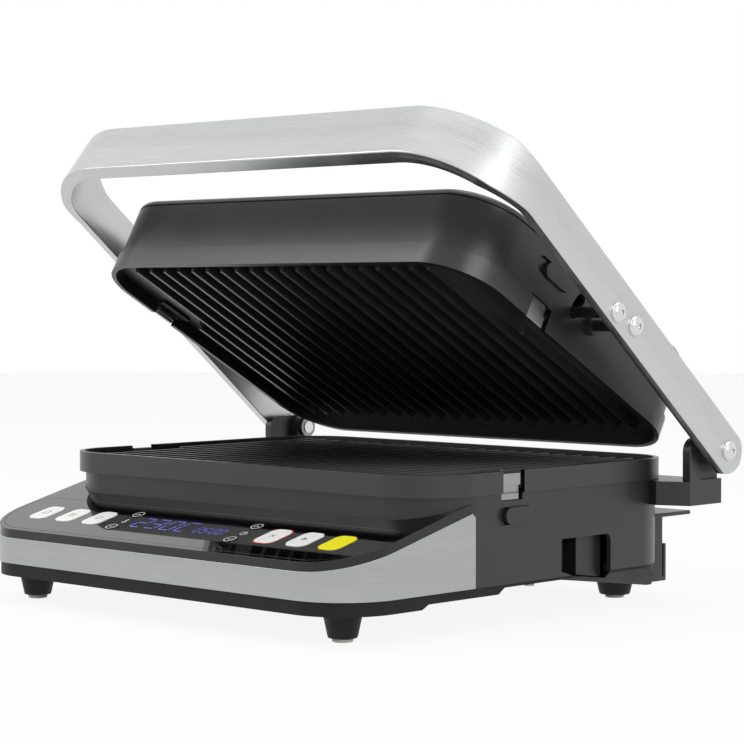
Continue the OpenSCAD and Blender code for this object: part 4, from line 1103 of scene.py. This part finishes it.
@dataclass(frozen=True)
class Controls:
    """The keys, the arrow caps and the display, in millimetres.

    Attributes:
        first: Distance of the inner key from the middle.
        pitch: Distance between two keys.
        key_w: Width of a key.
        key_l: Length of a key up the slope.
        arrow_x: Distance of the arrow caps from the middle.
        arrow_pitch: Distance between the upper and the lower arrow cap.
        proud: How far a key stands over the deck.
    """

    first: float = 72.5
    pitch: float = 24.2
    key_w: float = 15.0
    key_l: float = 20.5
    arrow_x: float = 49.4
    arrow_pitch: float = 20.8
    proud: float = 0.5

    def keys(self) -> None:
        """Finishes the six keys, prints their signs and the red line round the first right one."""
        signs = {"left": (Mark.POWER, Mark.BARS, Mark.FRAME), "right": (Mark.CROSS, Mark.PLAY, Mark.BARE)}
        for side, marks in signs.items():
            for number, mark in enumerate(marks):
                node = f"{side}_key_{number + 1}"
                x = (self.first + number * self.pitch) * (-1 if side == "left" else 1)
                finished_copy(node, KEY_YELLOW if mark is Mark.BARE else KEY_WHITE, 0.4)
                if mark is not Mark.BARE:
                    Print(f"{node}_sign", INK_GREY, body_of(node),
                          self.proud + 0.04, 0.08).build(mark.patches(x))
        w, l, r = self.key_w / 2 + 0.5, self.key_l / 2 + 0.5, 5.5
        x = self.first
        ring = [*arc(x + w - r, l - r, r, 0, 90, 6), *arc(x - w + r, l - r, r, 90, 180, 6),
                *arc(x - w + r, r - l, r, 180, 270, 6), *arc(x + w - r, r - l, r, 270, 360, 6)]
        Print("stop_key_outline", INK_RED).build(stroke([*ring, ring[0]], 0.7))

    def arrows(self) -> None:
        """Finishes the four arrow caps and prints their rings and arrows."""
        for side, sign in (("left", -1), ("right", 1)):
            for way, up in (("up", 1), ("down", -1)):
                node = f"{side}_{way}_key"
                finished_copy(node, GLOSS, 0.3)
                x, y = sign * self.arrow_x, up * self.arrow_pitch / 2
                patches = stroke(arc(x, y, 3.45), 0.5)
                patches += stroke([(x - 1.7, y - 0.8 * up), (x, y + 1.0 * up), (x + 1.7, y - 0.8 * up)], 0.5)
                Print(f"{node}_arrow", INK_WHITE, body_of(node), self.proud + 0.04, 0.08).build(patches)

    def symbols(self) -> None:
        """Prints the thermometer on the left and the clock on the right, between the arrow caps."""
        x = -self.arrow_x
        thermometer = stroke(arc(x, -1.3, 1.2), 0.45) + stroke([(x, 0), (x, 3)], 0.9)
        Print("thermometer_symbol", INK_WHITE).build(thermometer)
        x = self.arrow_x
        clock = stroke(arc(x, 0, 2.1), 0.45) + stroke([(x, 1.3), (x, 0), (x + 1.0, 0)], 0.4)
        Print("clock_symbol", INK_WHITE).build(clock)

    def display(self) -> None:
        """Lays the smoked window in the deck and lights its digits."""
        window = [[(-42, -12), (39, -12), (39, 12), (-42, 12)]]
        Print("display_window", WINDOW, lift=0.02, coat=0.1).build(window)
        lit = []
        for number, sign in enumerate("230C"):
            lit += digit(sign, -39 + number * 12.4, -6.5, 8.2, 13.5, 1.1)
        for number, sign in enumerate("0500"):
            lit += digit(sign, 13 + number * 5.6 + (1.6 if number > 1 else 0), -5.5, 3.5, 7.5, 0.7)
        for y in (-3.2, 0.4):
            lit.append([(24.2, y), (25.0, y), (25.1, y + 0.9), (24.3, y + 0.9)])
        Print("display_digits", LIT, lift=0.05, coat=0.02).build(lit)

    def build(self) -> None:
        """Makes everything that shows on the deck's face."""
        self.keys()
        self.arrows()
        self.symbols()
        self.display()


# ---- housings and small parts ----

ROUNDED = {
    "base_shell": (HOUSING, 0.6),
    # the pan and the feet take the black darkened with painted shade of the underside
    "bottom_pan": (PAN_PAINTED_SHADE, 0.8),
    "deck_trim": (GLOSS, 0.5),
    "deck_panel": (GLOSS, 0.25),
    "lid_shell": (HOUSING, 0.5),
    "hinge_block_left": (HOUSING, 1.0),
    "hinge_block_right": (HOUSING, 1.0),
    "front_feet": (PAN_PAINTED_SHADE, 0.8),
    "rear_feet": (PAN_PAINTED_SHADE, 0.8),
    "foot_pads": (SILICONE, 0.5),
    "cord_hooks": (HOUSING, 0.6),
    "cord_gland": (RUBBER, 0.8),
    "drip_tray": (HOUSING, 0.6),
    "base_button": (HOUSING, 0.6),
    "lid_button": (HOUSING, 0.6),
    "base_latch": (PRESSED, 0.3),
    "lid_latch": (PRESSED, 0.3),
    "lower_clips": (PRESSED, 0.3),
    "upper_clips": (PRESSED, 0.3),
}

PLAIN = {
    "display_module": WINDOW, "control_board": BOARD, "key_switches": PLATED, "power_board": BOARD,
    "terminal_block": CERAMIC, "lower_heater": HEATED, "lower_reflector": SHEET,
    "lower_thermostat": CERAMIC, "pivot_washers": NYLON, "pivot_nuts": PLATED,
    "housing_screws": PLATED, "grease_chute": SHEET, "tray_guide": SHEET, "base_spring_cup": NYLON,
    "lid_pins": BLACKED, "upper_heater": HEATED, "upper_reflector": SHEET, "upper_thermostat": CERAMIC,
    "lid_spring_cup": NYLON,
}


@dataclass(frozen=True)
class Band:
    """The brushed steel band round the front, in millimetres.

    Attributes:
        corner: Radius of the band's corners.
    """

    corner: float = 36.6

    def build(self) -> None:
        """Finishes the band, its strokes running along it."""
        piece = finished_copy("steel_band", BAND, 0.15)
        low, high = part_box("steel_band")
        radius = self.corner * MM
        middle_x, middle_y = high.x - radius, low.y + radius

        def run(point: Vector) -> Point:
            """Returns how far along the band a point lies, from the middle of the front, and its height."""
            x, y = abs(point.x), point.y
            if x <= middle_x:
                along = x
            elif y >= middle_y:
                along = middle_x + radius * math.pi / 2 + y - middle_y
            else:
                along = middle_x + radius * math.atan2(x - middle_x, middle_y - y)
            return math.copysign(along, point.x), point.z

        stroke_map(piece, run)


def build_housings() -> None:
    """Finishes the housings and the small parts that keep the CAD's shape."""
    for node, (finish, width) in ROUNDED.items():
        finished_copy(node, finish, width)
    for node, finish in PLAIN.items():
        dress(node, finish)


# ---- the room ----


@dataclass(frozen=True)
class Room:
    """A pale floor, a white room, soft lamps and the photograph's camera, in metres and degrees.

    Attributes:
        azimuth: Way that the camera looks, turned from +Y.
        elevation: How far the camera looks down.
        camera_at: Where the camera stands.
        lens: Focal length on a 36 mm frame.
        shift: Shift of the square frame.
        ambient: Strength of the room's light on the object.
    """

    azimuth: float = 43.87
    elevation: float = 1.52
    camera_at: tuple[float, float, float] = (0.96658, -0.98132, 0.18009)
    lens: float = 112.18
    shift: Point = (0.0052, -0.022)
    ambient: float = 0.5

    def camera(self) -> None:
        """Sets up the camera at the photograph's angle."""
        data = bpy.data.cameras.new("camera")
        data.lens = self.lens
        data.sensor_width = 36
        data.shift_x, data.shift_y = self.shift
        data.clip_start, data.clip_end = 0.05, 50
        camera = link("camera", data)
        camera.location = self.camera_at
        camera.rotation_euler = (math.radians(90 - self.elevation), 0, math.radians(self.azimuth))
        bpy.context.scene.camera = camera

    def lamp(self, name: str, at: tuple, size: float, power: float) -> None:
        """Hangs a square soft lamp that faces the object.

        Args:
            name: The lamp's name.
            at: Where it hangs.
            size: Its side.
            power: Its power in watts.
        """
        data = bpy.data.lights.new(name, "AREA")
        data.size = size
        data.energy = power
        lamp = link(name, data)
        lamp.location = at
        lamp.rotation_euler = (Vector((0, 0, 0.12)) - Vector(at)).to_track_quat("-Z", "Y").to_euler()

    def air(self) -> None:
        """Makes the room white to the eye and in mirrors, and softly lit for the object."""
        world = bpy.data.worlds.new("room")
        world.use_nodes = True
        bpy.context.scene.world = world
        tree = world.node_tree
        tree.nodes.clear()
        rays = add_node(tree, "ShaderNodeLightPath").outputs
        mirror = add_node(tree, "ShaderNodeMath", {0: rays["Is Camera Ray"], 1: rays["Is Glossy Ray"]},
                          operation="MAXIMUM")
        seen = add_node(tree, "ShaderNodeMath", {0: mirror.outputs[0], 1: rays["Is Transmission Ray"]},
                        operation="MAXIMUM")
        strength = add_node(tree, "ShaderNodeMapRange",
                            {"Value": seen.outputs[0], "To Min": self.ambient, "To Max": 1.0})
        light = add_node(tree, "ShaderNodeBackground",
                         {"Color": (1, 1, 1, 1), "Strength": strength.outputs["Result"]})
        add_node(tree, "ShaderNodeOutputWorld", {"Surface": light.outputs[0]})

    def floor(self) -> None:
        """Lays the floor, nearly white to the eye and still holding the object's shadow."""
        shape = bmesh.new()
        bmesh.ops.create_circle(shape, cap_ends=True, segments=96, radius=4)
        mesh = bpy.data.meshes.new("floor")
        shape.to_mesh(mesh)
        shape.free()
        made = bpy.data.materials.new("matt_white_paper")
        made.use_nodes = True
        tree = made.node_tree
        tree.nodes.clear()
        rays = add_node(tree, "ShaderNodeLightPath").outputs
        seen = add_node(tree, "ShaderNodeMath", {0: rays["Is Camera Ray"], 1: rays["Is Glossy Ray"]},
                        operation="MAXIMUM")
        share = add_node(tree, "ShaderNodeMath", {0: seen.outputs[0], 1: 0.9}, operation="MULTIPLY")
        paper = add_node(tree, "ShaderNodeBsdfDiffuse", {"Color": (0.86, 0.86, 0.86, 1)})
        lit = add_node(tree, "ShaderNodeEmission", {"Color": (1, 1, 1, 1), "Strength": 1.0})
        mix = add_node(tree, "ShaderNodeMixShader",
                       {0: share.outputs[0], 1: paper.outputs[0], 2: lit.outputs[0]})
        add_node(tree, "ShaderNodeOutputMaterial", {"Surface": mix.outputs[0]})
        mesh.materials.append(made)
        link("floor", mesh)

    def build(self) -> None:
        """Sets up the whole room."""
        bpy.context.scene.view_settings.view_transform = "Standard"
        self.camera()
        self.air()
        self.floor()
        self.lamp("left_softbox", (-1.1, -1.2, 1.3), 1.0, 12)
        self.lamp("right_softbox", (1.6, -0.3, 0.9), 0.9, 9)
        self.lamp("top_softbox", (0, 0.3, 1.8), 1.4, 12)


def main() -> None:
    """Builds the room and the grill, piece by piece."""
    logging.basicConfig(level=logging.INFO, format="%(message)s")
    Room().build()
    build_housings()
    Band().build()
    build_plates()
    Handle().build()
    ArmScrews().build()
    Controls().build()


if __name__ == "__main__":
    main()
